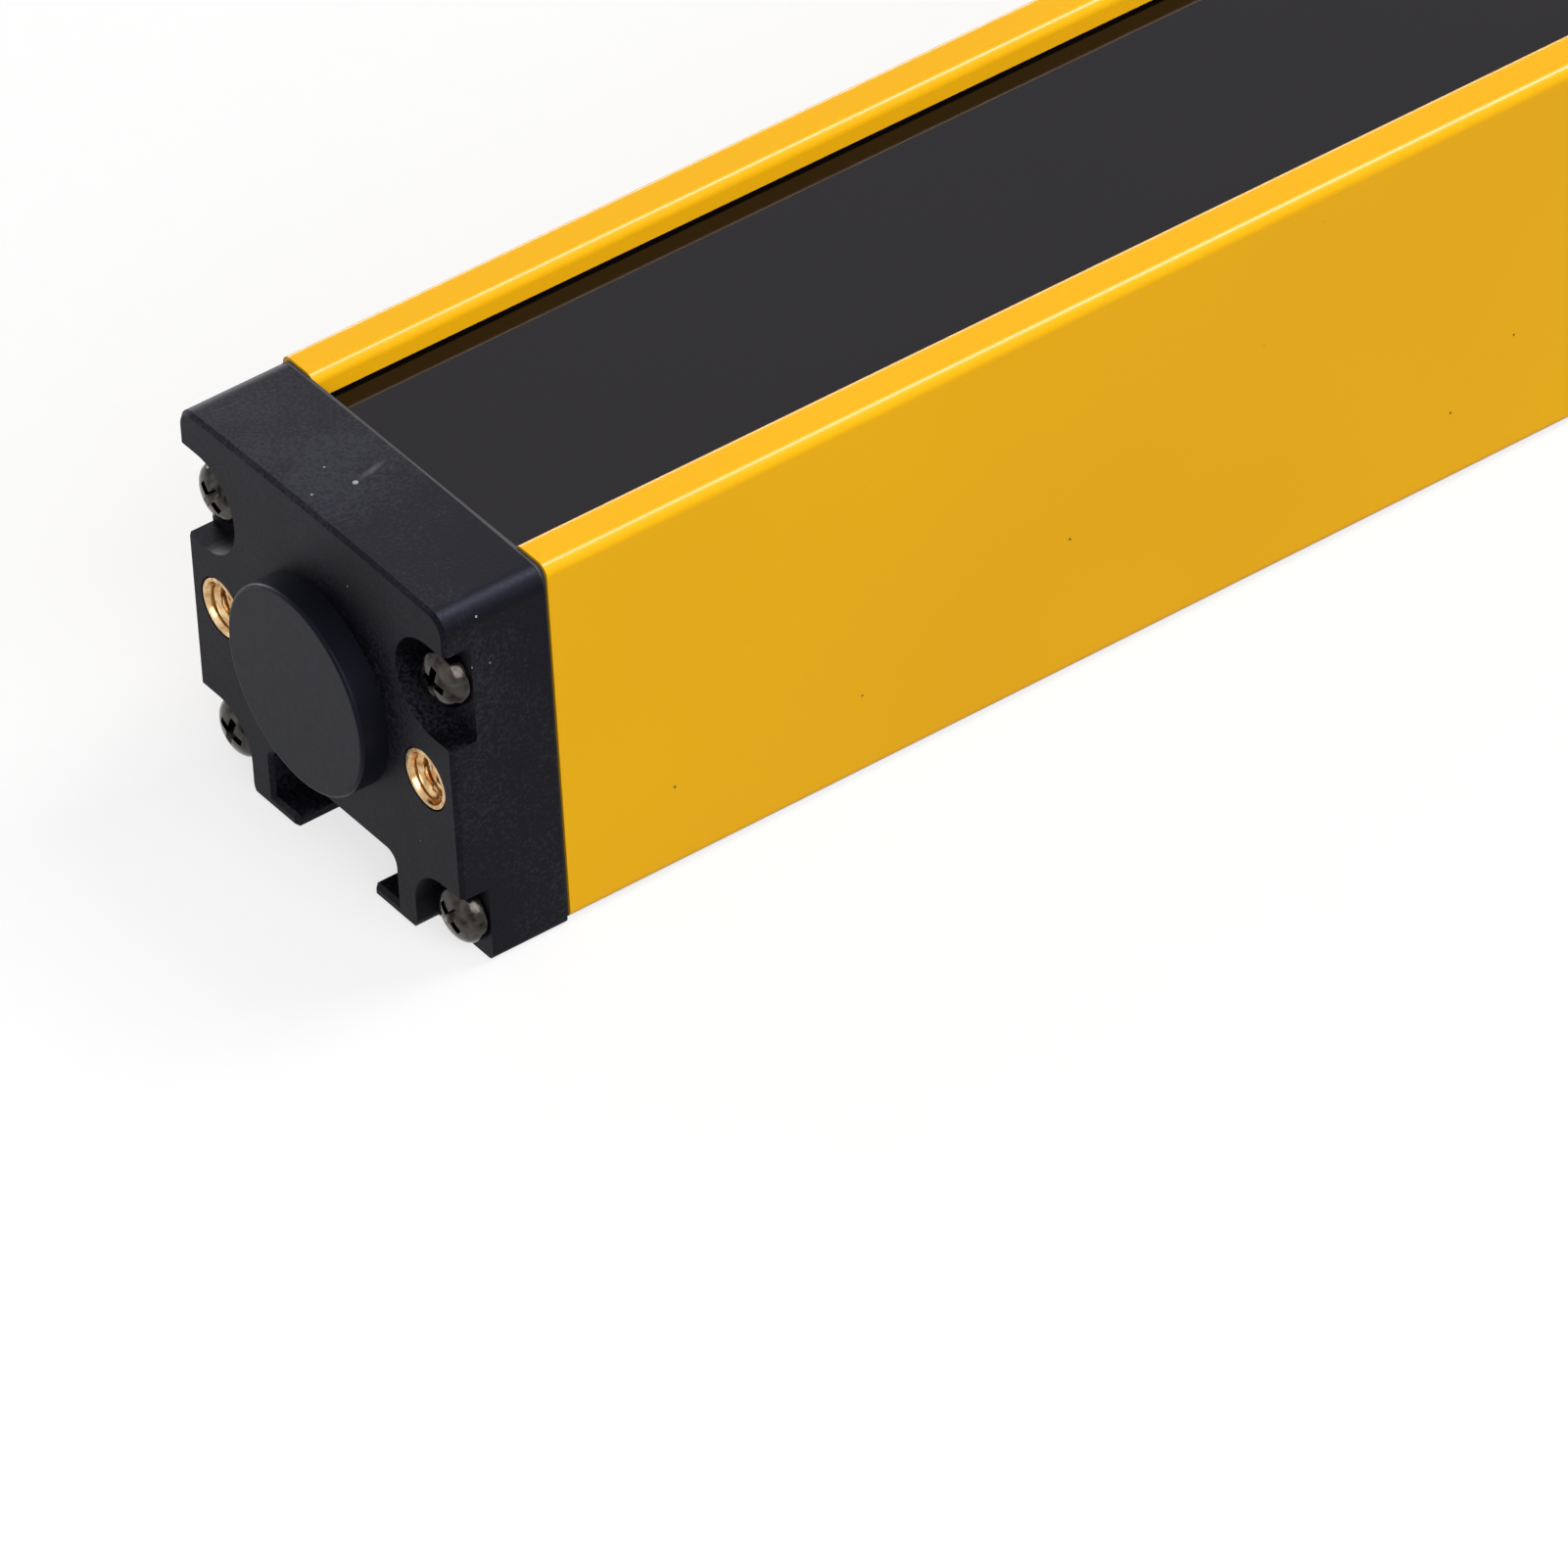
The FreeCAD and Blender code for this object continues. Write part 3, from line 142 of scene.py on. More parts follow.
def powder_coated_aluminium(settings):
    """Powder coat, baked on: a faint orange peel under a soft gloss, and a rare dark speck."""
    material, tree, place = new_material("powder_coated_aluminium")
    cloud = add_node(tree, "ShaderNodeTexNoise", None,
                     {"Vector": place, "Scale": per_metre(40), "Detail": 2.0})
    shade = add_node(tree, "ShaderNodeValToRGB", None, {"Fac": cloud.outputs["Fac"]})
    shade.color_ramp.elements[0].position = 0.3
    shade.color_ramp.elements[0].color = settings.paint_shade
    shade.color_ramp.elements[1].position = 0.7
    shade.color_ramp.elements[1].color = settings.paint
    # specks are 0.26 mm across, one in each cell of 6.5 mm that meets the surface at its point
    specks = add_node(tree, "ShaderNodeTexVoronoi", {"feature": "F1"},
                      {"Vector": place, "Scale": per_metre(6.5)})
    dot = add_node(tree, "ShaderNodeMath", {"operation": "LESS_THAN"},
                   {0: specks.outputs["Distance"], 1: 0.02})
    colour = add_node(tree, "ShaderNodeMix", {"data_type": "RGBA"},
                      {"Factor": dot.outputs[0], "A": shade.outputs["Color"],
                       "B": hex_colour("#7A5A16")})
    # orange peel is about 1.5 mm from crest to crest
    peel = add_node(tree, "ShaderNodeTexNoise", None,
                    {"Vector": place, "Scale": per_metre(1.5), "Detail": 2.0})
    bump = add_node(tree, "ShaderNodeBump", None,
                    {"Height": peel.outputs["Fac"], "Strength": 0.12, "Distance": 0.02 * MM})
    gloss = add_node(tree, "ShaderNodeMapRange", None,
                     {"Value": cloud.outputs["Fac"], "To Min": 0.27, "To Max": 0.33})
    shader = add_node(tree, "ShaderNodeBsdfPrincipled", None,
                      {"Base Color": colour.outputs["Result"], "Roughness": gloss.outputs["Result"],
                       "Specular IOR Level": 0.13, "Normal": bump.outputs["Normal"]})
    add_node(tree, "ShaderNodeOutputMaterial", None, {"Surface": shader.outputs["BSDF"]})
    return material


def infrared_filter_acrylic():
    """Cast acrylic dyed black to the eye: a mirror-flat face with next to no body colour."""
    material, tree, place = new_material("infrared_filter_acrylic")
    haze = add_node(tree, "ShaderNodeTexNoise", None,
                    {"Vector": place, "Scale": per_metre(12), "Detail": 3.0})
    body = add_node(tree, "ShaderNodeValToRGB", None, {"Fac": haze.outputs["Fac"]})
    body.color_ramp.elements[0].color = hex_colour("#070506")
    body.color_ramp.elements[1].color = hex_colour("#0B080A")
    gloss = add_node(tree, "ShaderNodeMapRange", None,
                     {"Value": haze.outputs["Fac"], "To Min": 0.035, "To Max": 0.06})
    shader = add_node(tree, "ShaderNodeBsdfPrincipled", None,
                      {"Base Color": body.outputs["Color"], "Roughness": gloss.outputs["Result"],
                       "IOR": 1.31, "Specular Tint": hex_colour("#F0E9FF")})
    add_node(tree, "ShaderNodeOutputMaterial", None, {"Surface": shader.outputs["BSDF"]})
    return material


def spark_eroded_nylon(settings):
    """Glass-filled nylon from a spark-eroded mould: black with a fine, dry, even grain."""
    material, tree, place = new_material("spark_eroded_nylon")
    # the real grain is near 0.1 mm; it is drawn at 0.3 mm so that it shows
    grain = add_node(tree, "ShaderNodeTexNoise", None,
                     {"Vector": place, "Scale": per_metre(0.3), "Detail": 3.0, "Roughness": 0.6})
    cloud = add_node(tree, "ShaderNodeTexNoise", None,
                     {"Vector": place, "Scale": per_metre(14), "Detail": 3.0})
    mottle = add_node(tree, "ShaderNodeMath", {"operation": "MULTIPLY"},
                      {0: grain.outputs["Fac"], 1: cloud.outputs["Fac"]})
    shade = add_node(tree, "ShaderNodeValToRGB", None, {"Fac": mottle.outputs[0]})
    shade.color_ramp.elements[0].position = 0.24
    shade.color_ramp.elements[0].color = hex_colour("#040405")
    shade.color_ramp.elements[1].position = 0.38
    shade.color_ramp.elements[1].color = settings.moulding
    # dust is 0.2 mm across, in cells of 3 mm
    specks = add_node(tree, "ShaderNodeTexVoronoi", {"feature": "F1"},
                      {"Vector": place, "Scale": per_metre(3)})
    dust = add_node(tree, "ShaderNodeMath", {"operation": "LESS_THAN"},
                    {0: specks.outputs["Distance"], 1: 0.035})
    # a rub mark 3.4 mm long on top of the blanked end's cap, with a bright chip where it starts
    rub = add_node(tree, "ShaderNodeMapping", {"vector_type": "TEXTURE"},
                   {"Vector": place, "Location": (-96.4 * MM, 0.87 * MM, 34.3 * MM),
                    "Rotation": (0, 0, math.radians(13.6)),
                    "Scale": (1.7 * MM, 0.38 * MM, 0.5 * MM)})
    streak = add_node(tree, "ShaderNodeTexGradient", {"gradient_type": "SPHERICAL"},
                      {"Vector": rub.outputs["Vector"]})
    reach = add_node(tree, "ShaderNodeVectorMath", {"operation": "DISTANCE"},
                     {0: place, 1: (-98.3 * MM, 0.42 * MM, 34.3 * MM)})
    chip = add_node(tree, "ShaderNodeMath", {"operation": "LESS_THAN"},
                    {0: reach.outputs["Value"], 1: 0.24 * MM})
    glint_mottle = add_node(tree, "ShaderNodeMath", {"operation": "MULTIPLY_ADD"},
                    {0: streak.outputs["Fac"], 1: 0.22, 2: chip.outputs[0]})
    marks = add_node(tree, "ShaderNodeMath", {"operation": "ADD", "use_clamp": True},
                     {0: dust.outputs[0], 1: glint_mottle.outputs[0]})
    colour = add_node(tree, "ShaderNodeMix", {"data_type": "RGBA"},
                      {"Factor": marks.outputs[0], "A": shade.outputs["Color"],
                       "B": hex_colour("#9A9A9C")})
    bump = add_node(tree, "ShaderNodeBump", None,
                    {"Height": grain.outputs["Fac"], "Strength": 0.5, "Distance": 0.03 * MM})
    gloss = add_node(tree, "ShaderNodeMapRange", None,
                     {"Value": grain.outputs["Fac"], "To Min": 0.4, "To Max": 0.62})
    shader = add_node(tree, "ShaderNodeBsdfPrincipled", None,
                      {"Base Color": colour.outputs["Result"], "Roughness": gloss.outputs["Result"],
                       "Normal": bump.outputs["Normal"], "IOR": 1.53,
                       "Specular IOR Level": 0.11, "Specular Tint": hex_colour("#D2D2FF")})
    add_node(tree, "ShaderNodeOutputMaterial", None, {"Surface": shader.outputs["BSDF"]})
    return material


def polished_mould_nylon(settings):
    """Nylon from a smoother mould: a calm, faintly blue black with a low sheen."""
    material, tree, place = new_material("polished_mould_nylon")
    cloud = add_node(tree, "ShaderNodeTexNoise", None,
                     {"Vector": place, "Scale": per_metre(6), "Detail": 4.0})
    shade = add_node(tree, "ShaderNodeValToRGB", None, {"Fac": cloud.outputs["Fac"]})
    shade.color_ramp.elements[0].color = hex_colour("#0C0D11")
    shade.color_ramp.elements[1].color = settings.plug
    flow = add_node(tree, "ShaderNodeTexNoise", None,
                    {"Vector": place, "Scale": per_metre(0.8), "Detail": 2.0})
    bump = add_node(tree, "ShaderNodeBump", None,
                    {"Height": flow.outputs["Fac"], "Strength": 0.15, "Distance": 0.02 * MM})
    gloss = add_node(tree, "ShaderNodeMapRange", None,
                     {"Value": flow.outputs["Fac"], "To Min": 0.36, "To Max": 0.46})
    shader = add_node(tree, "ShaderNodeBsdfPrincipled", None,
                      {"Base Color": shade.outputs["Color"], "Roughness": gloss.outputs["Result"],
                       "Normal": bump.outputs["Normal"], "IOR": 1.53,
                       "Specular IOR Level": 0.1, "Specular Tint": hex_colour("#D2D2FF")})
    add_node(tree, "ShaderNodeOutputMaterial", None, {"Surface": shader.outputs["BSDF"]})
    return material


def moulded_rubber():
    """Nitrile rubber, compression moulded: dull black with a bloom."""
    material, tree, place = new_material("moulded_rubber")
    bloom = add_node(tree, "ShaderNodeTexNoise", None,
                     {"Vector": place, "Scale": per_metre(2.5), "Detail": 4.0})
    shade = add_node(tree, "ShaderNodeValToRGB", None, {"Fac": bloom.outputs["Fac"]})
    shade.color_ramp.elements[0].color = hex_colour("#0D0C0C")
    shade.color_ramp.elements[1].color = hex_colour("#1C1B1B")
    bump = add_node(tree, "ShaderNodeBump", None,
                    {"Height": bloom.outputs["Fac"], "Strength": 0.2, "Distance": 0.03 * MM})
    shader = add_node(tree, "ShaderNodeBsdfPrincipled", None,
                      {"Base Color": shade.outputs["Color"], "Roughness": 0.75,
                       "Normal": bump.outputs["Normal"], "IOR": 1.52})
    add_node(tree, "ShaderNodeOutputMaterial", None, {"Surface": shader.outputs["BSDF"]})
    return material


def black_nickel_steel(settings):
    """Steel with black nickel plating: dark, warm, and bright where an edge turns to the light; a
    painted mottle of bright and dark reflection spots lies over it.
    """
    material, tree, place = new_material("black_nickel_steel")
    # painted reflection: a mottle from a dark to a lighter tone stands in for the bright and dark
    # spots that the heads reflect; the same noise also sets the roughness and the bump
    glint_mottle = add_node(tree, "ShaderNodeTexNoise", None,
                    {"Vector": place, "Scale": per_metre(0.9), "Detail": 3.0})
    shade = add_node(tree, "ShaderNodeValToRGB", None, {"Fac": glint_mottle.outputs["Fac"]})
    shade.color_ramp.elements[0].position = 0.3
    shade.color_ramp.elements[1].position = 0.7
    shade.color_ramp.elements[0].color = hex_colour("#1E1C1A")
    shade.color_ramp.elements[1].color = settings.screw
    gloss = add_node(tree, "ShaderNodeMapRange", None,
                     {"Value": glint_mottle.outputs["Fac"], "To Min": 0.1, "To Max": 0.24})
    bump = add_node(tree, "ShaderNodeBump", None,
                    {"Height": glint_mottle.outputs["Fac"], "Strength": 0.5, "Distance": 0.05 * MM})
    shader = add_node(tree, "ShaderNodeBsdfPrincipled", None,
                      {"Base Color": shade.outputs["Color"], "Metallic": 1.0,
                       "Roughness": gloss.outputs["Result"], "Normal": bump.outputs["Normal"]})
    add_node(tree, "ShaderNodeOutputMaterial", None, {"Surface": shader.outputs["BSDF"]})
    return material


def turned_metal(name, light, dark, low, high):
    """Bar metal turned on a lathe: bright, with faint tool rings and a dull film between them.

    low and high are its roughness where it is cleanest and where the film is thickest.
    """
    material, tree, place = new_material(name)
    film = add_node(tree, "ShaderNodeTexNoise", None,
                    {"Vector": place, "Scale": per_metre(0.9), "Detail": 4.0})
    shade = add_node(tree, "ShaderNodeValToRGB", None, {"Fac": film.outputs["Fac"]})
    shade.color_ramp.elements[0].position = 0.3
    shade.color_ramp.elements[0].color = dark
    shade.color_ramp.elements[1].position = 0.7
    shade.color_ramp.elements[1].color = light
    # real tool marks lie about 0.15 mm apart; this wave has a crest every 0.94 mm so that they show
    rings = add_node(tree, "ShaderNodeTexWave", {"wave_type": "BANDS", "bands_direction": "X"},
                     {"Vector": place, "Scale": per_metre(3.0), "Distortion": 0.4})
    bump = add_node(tree, "ShaderNodeBump", None,
                    {"Height": rings.outputs["Fac"], "Strength": 0.15, "Distance": 0.01 * MM})
    gloss = add_node(tree, "ShaderNodeMapRange", None,
                     {"Value": film.outputs["Fac"], "To Min": low, "To Max": high})
    shader = add_node(tree, "ShaderNodeBsdfPrincipled", None,
                      {"Base Color": shade.outputs["Color"], "Metallic": 1.0,
                       "Roughness": gloss.outputs["Result"], "Normal": bump.outputs["Normal"]})
    add_node(tree, "ShaderNodeOutputMaterial", None, {"Surface": shader.outputs["BSDF"]})
    return material


def solder_masked_laminate():
    """Glass-epoxy board under solder mask: green, with copper runs showing darker through it."""
    material, tree, place = new_material("solder_masked_laminate")
    # a brick is half a unit by a quarter, so each copper run is 4 mm long and 2 mm wide
    runs = add_node(tree, "ShaderNodeTexBrick", None,
                    {"Vector": place, "Color1": hex_colour("#0E4A24"),
                     "Color2": hex_colour("#115A2C"), "Mortar": hex_colour("#0A3318"),
                     "Scale": per_metre(8), "Mortar Size": 0.02})
    weave = add_node(tree, "ShaderNodeTexNoise", None,
                     {"Vector": place, "Scale": per_metre(0.5), "Detail": 2.0})
    bump = add_node(tree, "ShaderNodeBump", None,
                    {"Height": weave.outputs["Fac"], "Strength": 0.1, "Distance": 0.02 * MM})
    shader = add_node(tree, "ShaderNodeBsdfPrincipled", None,
                      {"Base Color": runs.outputs["Color"], "Roughness": 0.35,
                       "Normal": bump.outputs["Normal"]})
    add_node(tree, "ShaderNodeOutputMaterial", None, {"Surface": shader.outputs["BSDF"]})
    return material


def dull_black_polycarbonate():
    """Light-trap moulding: polycarbonate with a matt grain that returns almost no light."""
    material, tree, place = new_material("dull_black_polycarbonate")
    grain = add_node(tree, "ShaderNodeTexNoise", None,
                     {"Vector": place, "Scale": per_metre(0.3), "Detail": 2.0})
    shade = add_node(tree, "ShaderNodeValToRGB", None, {"Fac": grain.outputs["Fac"]})
    shade.color_ramp.elements[0].color = hex_colour("#0A0A0A")
    shade.color_ramp.elements[1].color = hex_colour("#161616")
    bump = add_node(tree, "ShaderNodeBump", None,
                    {"Height": grain.outputs["Fac"], "Strength": 0.3, "Distance": 0.03 * MM})
    shader = add_node(tree, "ShaderNodeBsdfPrincipled", None,
                      {"Base Color": shade.outputs["Color"], "Roughness": 0.8,
                       "Normal": bump.outputs["Normal"], "IOR": 1.58})
    add_node(tree, "ShaderNodeOutputMaterial", None, {"Surface": shader.outputs["BSDF"]})
    return material


def clear_moulded_acrylic():
    """Acrylic moulded for optics: water clear and polished."""
    material, tree, place = new_material("clear_moulded_acrylic")
    flow = add_node(tree, "ShaderNodeTexNoise", None,
                    {"Vector": place, "Scale": per_metre(7), "Detail": 1.0})
    gloss = add_node(tree, "ShaderNodeMapRange", None,
                     {"Value": flow.outputs["Fac"], "To Min": 0.01, "To Max": 0.03})
    shader = add_node(tree, "ShaderNodeBsdfPrincipled", None,
                      {"Base Color": hex_colour("#F4F6F6"), "Roughness": gloss.outputs["Result"],
                       "Transmission Weight": 1.0, "IOR": 1.49})
    add_node(tree, "ShaderNodeOutputMaterial", None, {"Surface": shader.outputs["BSDF"]})
    return material


def tinted_epoxy():
    """Epoxy cast round a light emitter: smoky violet and glossy."""
    material, tree, place = new_material("tinted_epoxy")
    smoke = add_node(tree, "ShaderNodeTexNoise", None,
                     {"Vector": place, "Scale": per_metre(1.5), "Detail": 2.0})
    shade = add_node(tree, "ShaderNodeValToRGB", None, {"Fac": smoke.outputs["Fac"]})
    shade.color_ramp.elements[0].color = hex_colour("#2B2436")
    shade.color_ramp.elements[1].color = hex_colour("#3A3148")
    shader = add_node(tree, "ShaderNodeBsdfPrincipled", None,
                      {"Base Color": shade.outputs["Color"], "Roughness": 0.12, "IOR": 1.54})
    add_node(tree, "ShaderNodeOutputMaterial", None, {"Surface": shader.outputs["BSDF"]})
    return material


def transfer_moulded_epoxy():
    """Epoxy moulded round a chip or header: dark grey with a fine matt grain."""
    material, tree, place = new_material("transfer_moulded_epoxy")
    grain = add_node(tree, "ShaderNodeTexNoise", None,
                     {"Vector": place, "Scale": per_metre(0.25), "Detail": 2.0})
    shade = add_node(tree, "ShaderNodeValToRGB", None, {"Fac": grain.outputs["Fac"]})
    shade.color_ramp.elements[0].color = hex_colour("#1E1E20")
    shade.color_ramp.elements[1].color = hex_colour("#2C2C2F")
    bump = add_node(tree, "ShaderNodeBump", None,
                    {"Height": grain.outputs["Fac"], "Strength": 0.3, "Distance": 0.02 * MM})
    shader = add_node(tree, "ShaderNodeBsdfPrincipled", None,
                      {"Base Color": shade.outputs["Color"], "Roughness": 0.6,
                       "Normal": bump.outputs["Normal"]})
    add_node(tree, "ShaderNodeOutputMaterial", None, {"Surface": shader.outputs["BSDF"]})
    return material


def make_finishes(settings):
    """Every finish of the bar, by the record's material slot."""
    return {
        "yellow_powder_coat": powder_coated_aluminium(settings),
        "dark_filter_pane": infrared_filter_acrylic(),
        "cap_moulding": spark_eroded_nylon(settings),
        "plug_moulding": polished_mould_nylon(settings),
        "seal_rubber": moulded_rubber(),
        "black_nickel_steel": black_nickel_steel(settings),
        "insert_brass": turned_metal("turned_brass", settings.brass,
                                     hex_colour("#A8743A"), 0.16, 0.3),
        "nickel_plating": turned_metal("nickel_plated_brass", hex_colour("#CFCAC0"),
                                       hex_colour("#A8A399"), 0.16, 0.28),
        "contact_block_plastic": dull_black_polycarbonate(),
        "contact_gold": turned_metal("gold_plated_contact", hex_colour("#E3BA5A"),
                                     hex_colour("#C49A3C"), 0.12, 0.2),
        "board_laminate": solder_masked_laminate(),
        "carrier_plastic": dull_black_polycarbonate(),
        "clear_acrylic": clear_moulded_acrylic(),
        "emitter_resin": tinted_epoxy(),
        "component_plastic": transfer_moulded_epoxy(),
    }


def finish_for(slot):
    """The material that dresses a slot, made once."""
    return bpy.data.materials[bpy.context.scene["finish_" + slot]]


# --------------------------------------------------------------- shaping

def middle_of(node):
    """The middle of a node's box at rest."""
    low, high = (Vector(corner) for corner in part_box(node))
    return (low + high) / 2


def new_piece(name, mesh, slot, nodes):
    """Put a mesh in the scene as a piece that stands for CAD nodes."""
    piece = bpy.data.objects.new(name, mesh)
    bpy.context.scene.collection.objects.link(piece)
    mesh.materials.append(finish_for(slot))
    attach(piece, "root")
    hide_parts(*nodes)
    return piece


def ring_mesh(name, rings, steps, closed):
    """A turned mesh along +X. Each ring is (x, radius), where the radius may depend on the turn.

    closed joins the last ring to the first; otherwise rings of no radius end in a point.
    """
    shape = bmesh.new()
    rows = []
    for along, radius in rings:
        if not callable(radius) and radius == 0:
            rows.append([shape.verts.new((along, 0, 0))] * steps)
            continue
        row = []
        for step in range(steps):
            turn = 2 * math.pi * step / steps
            size = radius(turn) if callable(radius) else radius
            row.append(shape.verts.new((along, size * math.cos(turn), size * math.sin(turn))))
        rows.append(row)
    pairs = list(zip(rows, rows[1:]))
    if closed:
        pairs.append((rows[-1], rows[0]))
    for one, other in pairs:
        for step in range(steps):
            after = (step + 1) % steps
            corners = [one[step], one[after], other[after], other[step]]
            distinct = list(dict.fromkeys(corners))
            if len(distinct) > 2:
                shape.faces.new(distinct)
    bmesh.ops.recalc_face_normals(shape, faces=shape.faces)
    mesh = bpy.data.meshes.new(name)
    shape.to_mesh(mesh)
    shape.free()
    return mesh


def thread_rings(start, stop, root, crest, pitch, samples=8):
    """Rings of a screw thread from start to stop, fading out over its first and last turn."""
    count = max(int(abs(stop - start) / pitch * samples), 2)
    span = stop - start

    def wall(along):
        def radius(turn):
            phase = (along / pitch - turn / (2 * math.pi)) % 1.0
            rise = FLANK_SLOPE * (0.5 - abs(phase - 0.5)) - ROOT_FLAT
            height = min(1.0, max(0.0, rise))
            fade = min(1.0, abs(along - start) / pitch, abs(stop - along) / pitch)
            return root + (crest - root) * height * fade
        return radius
    return [(start + span * i / count, wall(start + span * i / count)) for i in range(count + 1)]


def smooth(mesh, degrees):
    """Shade smooth, with edges sharper than an angle kept crisp."""
    mesh.shade_smooth()
    mesh.set_sharp_from_angle(angle=math.radians(degrees))


def facing(sign, place):
    """Turn a piece made along +X so that its outside faces an end of the bar, and place it."""
    turn = Matrix.Rotation(math.pi, 4, "Z") if sign > 0 else Matrix.Identity(4)
    return Matrix.Translation(place) @ turn


# ------------------------------------------------------------- settings

class LightCurtainSettings(bpy.types.PropertyGroup):
    """Colours and fastener sizes that can be changed before the pieces are made."""

    paint: bpy.props.FloatVectorProperty(
        name="Paint", description="Powder coat of the housing", subtype="COLOR", size=4,
        min=0, max=1, default=hex_colour("#F2B40E"))
    paint_shade: bpy.props.FloatVectorProperty(
        name="Paint, thin places", description="Powder coat where the film is thinner",
        subtype="COLOR", size=4, min=0, max=1, default=hex_colour("#EDAE0D"))
    moulding: bpy.props.FloatVectorProperty(
        name="End caps", description="Black of the end cap mouldings", subtype="COLOR", size=4,
        min=0, max=1, default=hex_colour("#24242A"))
    plug: bpy.props.FloatVectorProperty(
        name="Blanking plug", description="Black of the smooth plug", subtype="COLOR", size=4,
        min=0, max=1, default=hex_colour("#121319"))
    # the lighter tone of the screws, which also paints the bright reflection spots of their mottle
    screw: bpy.props.FloatVectorProperty(
        name="Screws", description="Black nickel of the cap screws", subtype="COLOR", size=4,
        min=0, max=1, default=hex_colour("#524D49"))
    brass: bpy.props.FloatVectorProperty(
        name="Inserts", description="Brass of the threaded inserts", subtype="COLOR", size=4,
        min=0, max=1, default=hex_colour("#F0D2A0"))
    insert_pitch: bpy.props.FloatProperty(
        name="Insert thread pitch", description="M4 coarse thread", unit="LENGTH",
        default=0.7 * MM, min=0.2 * MM)
    insert_root: bpy.props.FloatProperty(
        name="Insert thread root", description="Radius at the bottom of the M4 thread",
        unit="LENGTH", default=2.05 * MM, min=0.5 * MM)
    insert_chamfer: bpy.props.FloatProperty(
        name="Insert chamfer", description="Lead-in of the insert's bore", unit="LENGTH",
        default=0.35 * MM, min=0)
    inlet_pitch: bpy.props.FloatProperty(
        name="Inlet thread pitch", description="M12 fine thread", unit="LENGTH",
        default=1.0 * MM, min=0.2 * MM)
    inlet_thread_depth: bpy.props.FloatProperty(
        name="Inlet thread depth", description="Depth of the M12 thread", unit="LENGTH",
        default=0.6 * MM, min=0)
    head_radius: bpy.props.FloatProperty(
        name="Screw head", description="Radius of the M3 pan head", unit="LENGTH",
        default=2.6 * MM, min=1.0 * MM)
    head_height: bpy.props.FloatProperty(
        name="Screw head height", description="Height of the M3 pan head", unit="LENGTH",
        default=1.9 * MM, min=0.5 * MM)
    drive_reach: bpy.props.FloatProperty(
        name="Drive reach", description="Half the width of the cross recess", unit="LENGTH",
        default=1.65 * MM, min=0.5 * MM)
    drive_wing: bpy.props.FloatProperty(
        name="Drive wing", description="Half the thickness of a recess wing", unit="LENGTH",
        default=0.36 * MM, min=0.1 * MM)
    drive_depth: bpy.props.FloatProperty(
        name="Drive depth", description="Depth of the cross recess", unit="LENGTH",
        default=1.45 * MM, min=0.2 * MM)


# ------------------------------------------------------------- operators

class LIGHTCURTAIN_OT_finishes(bpy.types.Operator):
    """Give every solid of the bar the finish of its material slot"""
    bl_idname = "lightcurtain.finishes"
    bl_label = "Finishes"

    def execute(self, context):
        for slot, material in make_finishes(context.scene.light_curtain).items():
            context.scene["finish_" + slot] = material.name
        for part in frame["record"]["subparts"]:
            item = frame["nodes"][part["node"]]
            item.data.materials.clear()
            item.data.materials.append(finish_for(part["material_slot"]))
        return {"FINISHED"}


class LIGHTCURTAIN_OT_inserts(bpy.types.Operator):
    """Turn the brass inserts with their internal M4 thread and chamfered mouth"""
    bl_idname = "lightcurtain.inserts"
    bl_label = "Threaded inserts"

    def execute(self, context):
        settings = context.scene.light_curtain
        for end, sign in ENDS:
            for side in ("left", "right"):
                node = f"threaded_insert_{end}_{side}"
                low, high = (Vector(corner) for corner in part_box(node))
                length = high.x - low.x
                outer = (high.z - low.z) / 2
                bore = 1.65 * MM
                sunk, shoulder, rim, back_edge = 0.06 * MM, 0.25 * MM, 0.15 * MM, 0.1 * MM
                mouth = settings.insert_root + settings.insert_chamfer / 2
                rings = [(sunk, mouth)]
                rings += thread_rings(settings.insert_chamfer, length, settings.insert_root,
                                      bore, settings.insert_pitch)
                rings += [(length, outer - back_edge), (length - back_edge, outer),
                          (shoulder, outer), (sunk, outer - rim)]
                mesh = ring_mesh(node + "_turned", rings, steps=64, closed=True)
                face = low.x if sign < 0 else high.x
                middle = middle_of(node)
                mesh.transform(facing(sign, (face, middle.y, middle.z)))
                smooth(mesh, 40)
                new_piece(f"insert_{end}_{side}", mesh, "insert_brass", [node])
        return {"FINISHED"}


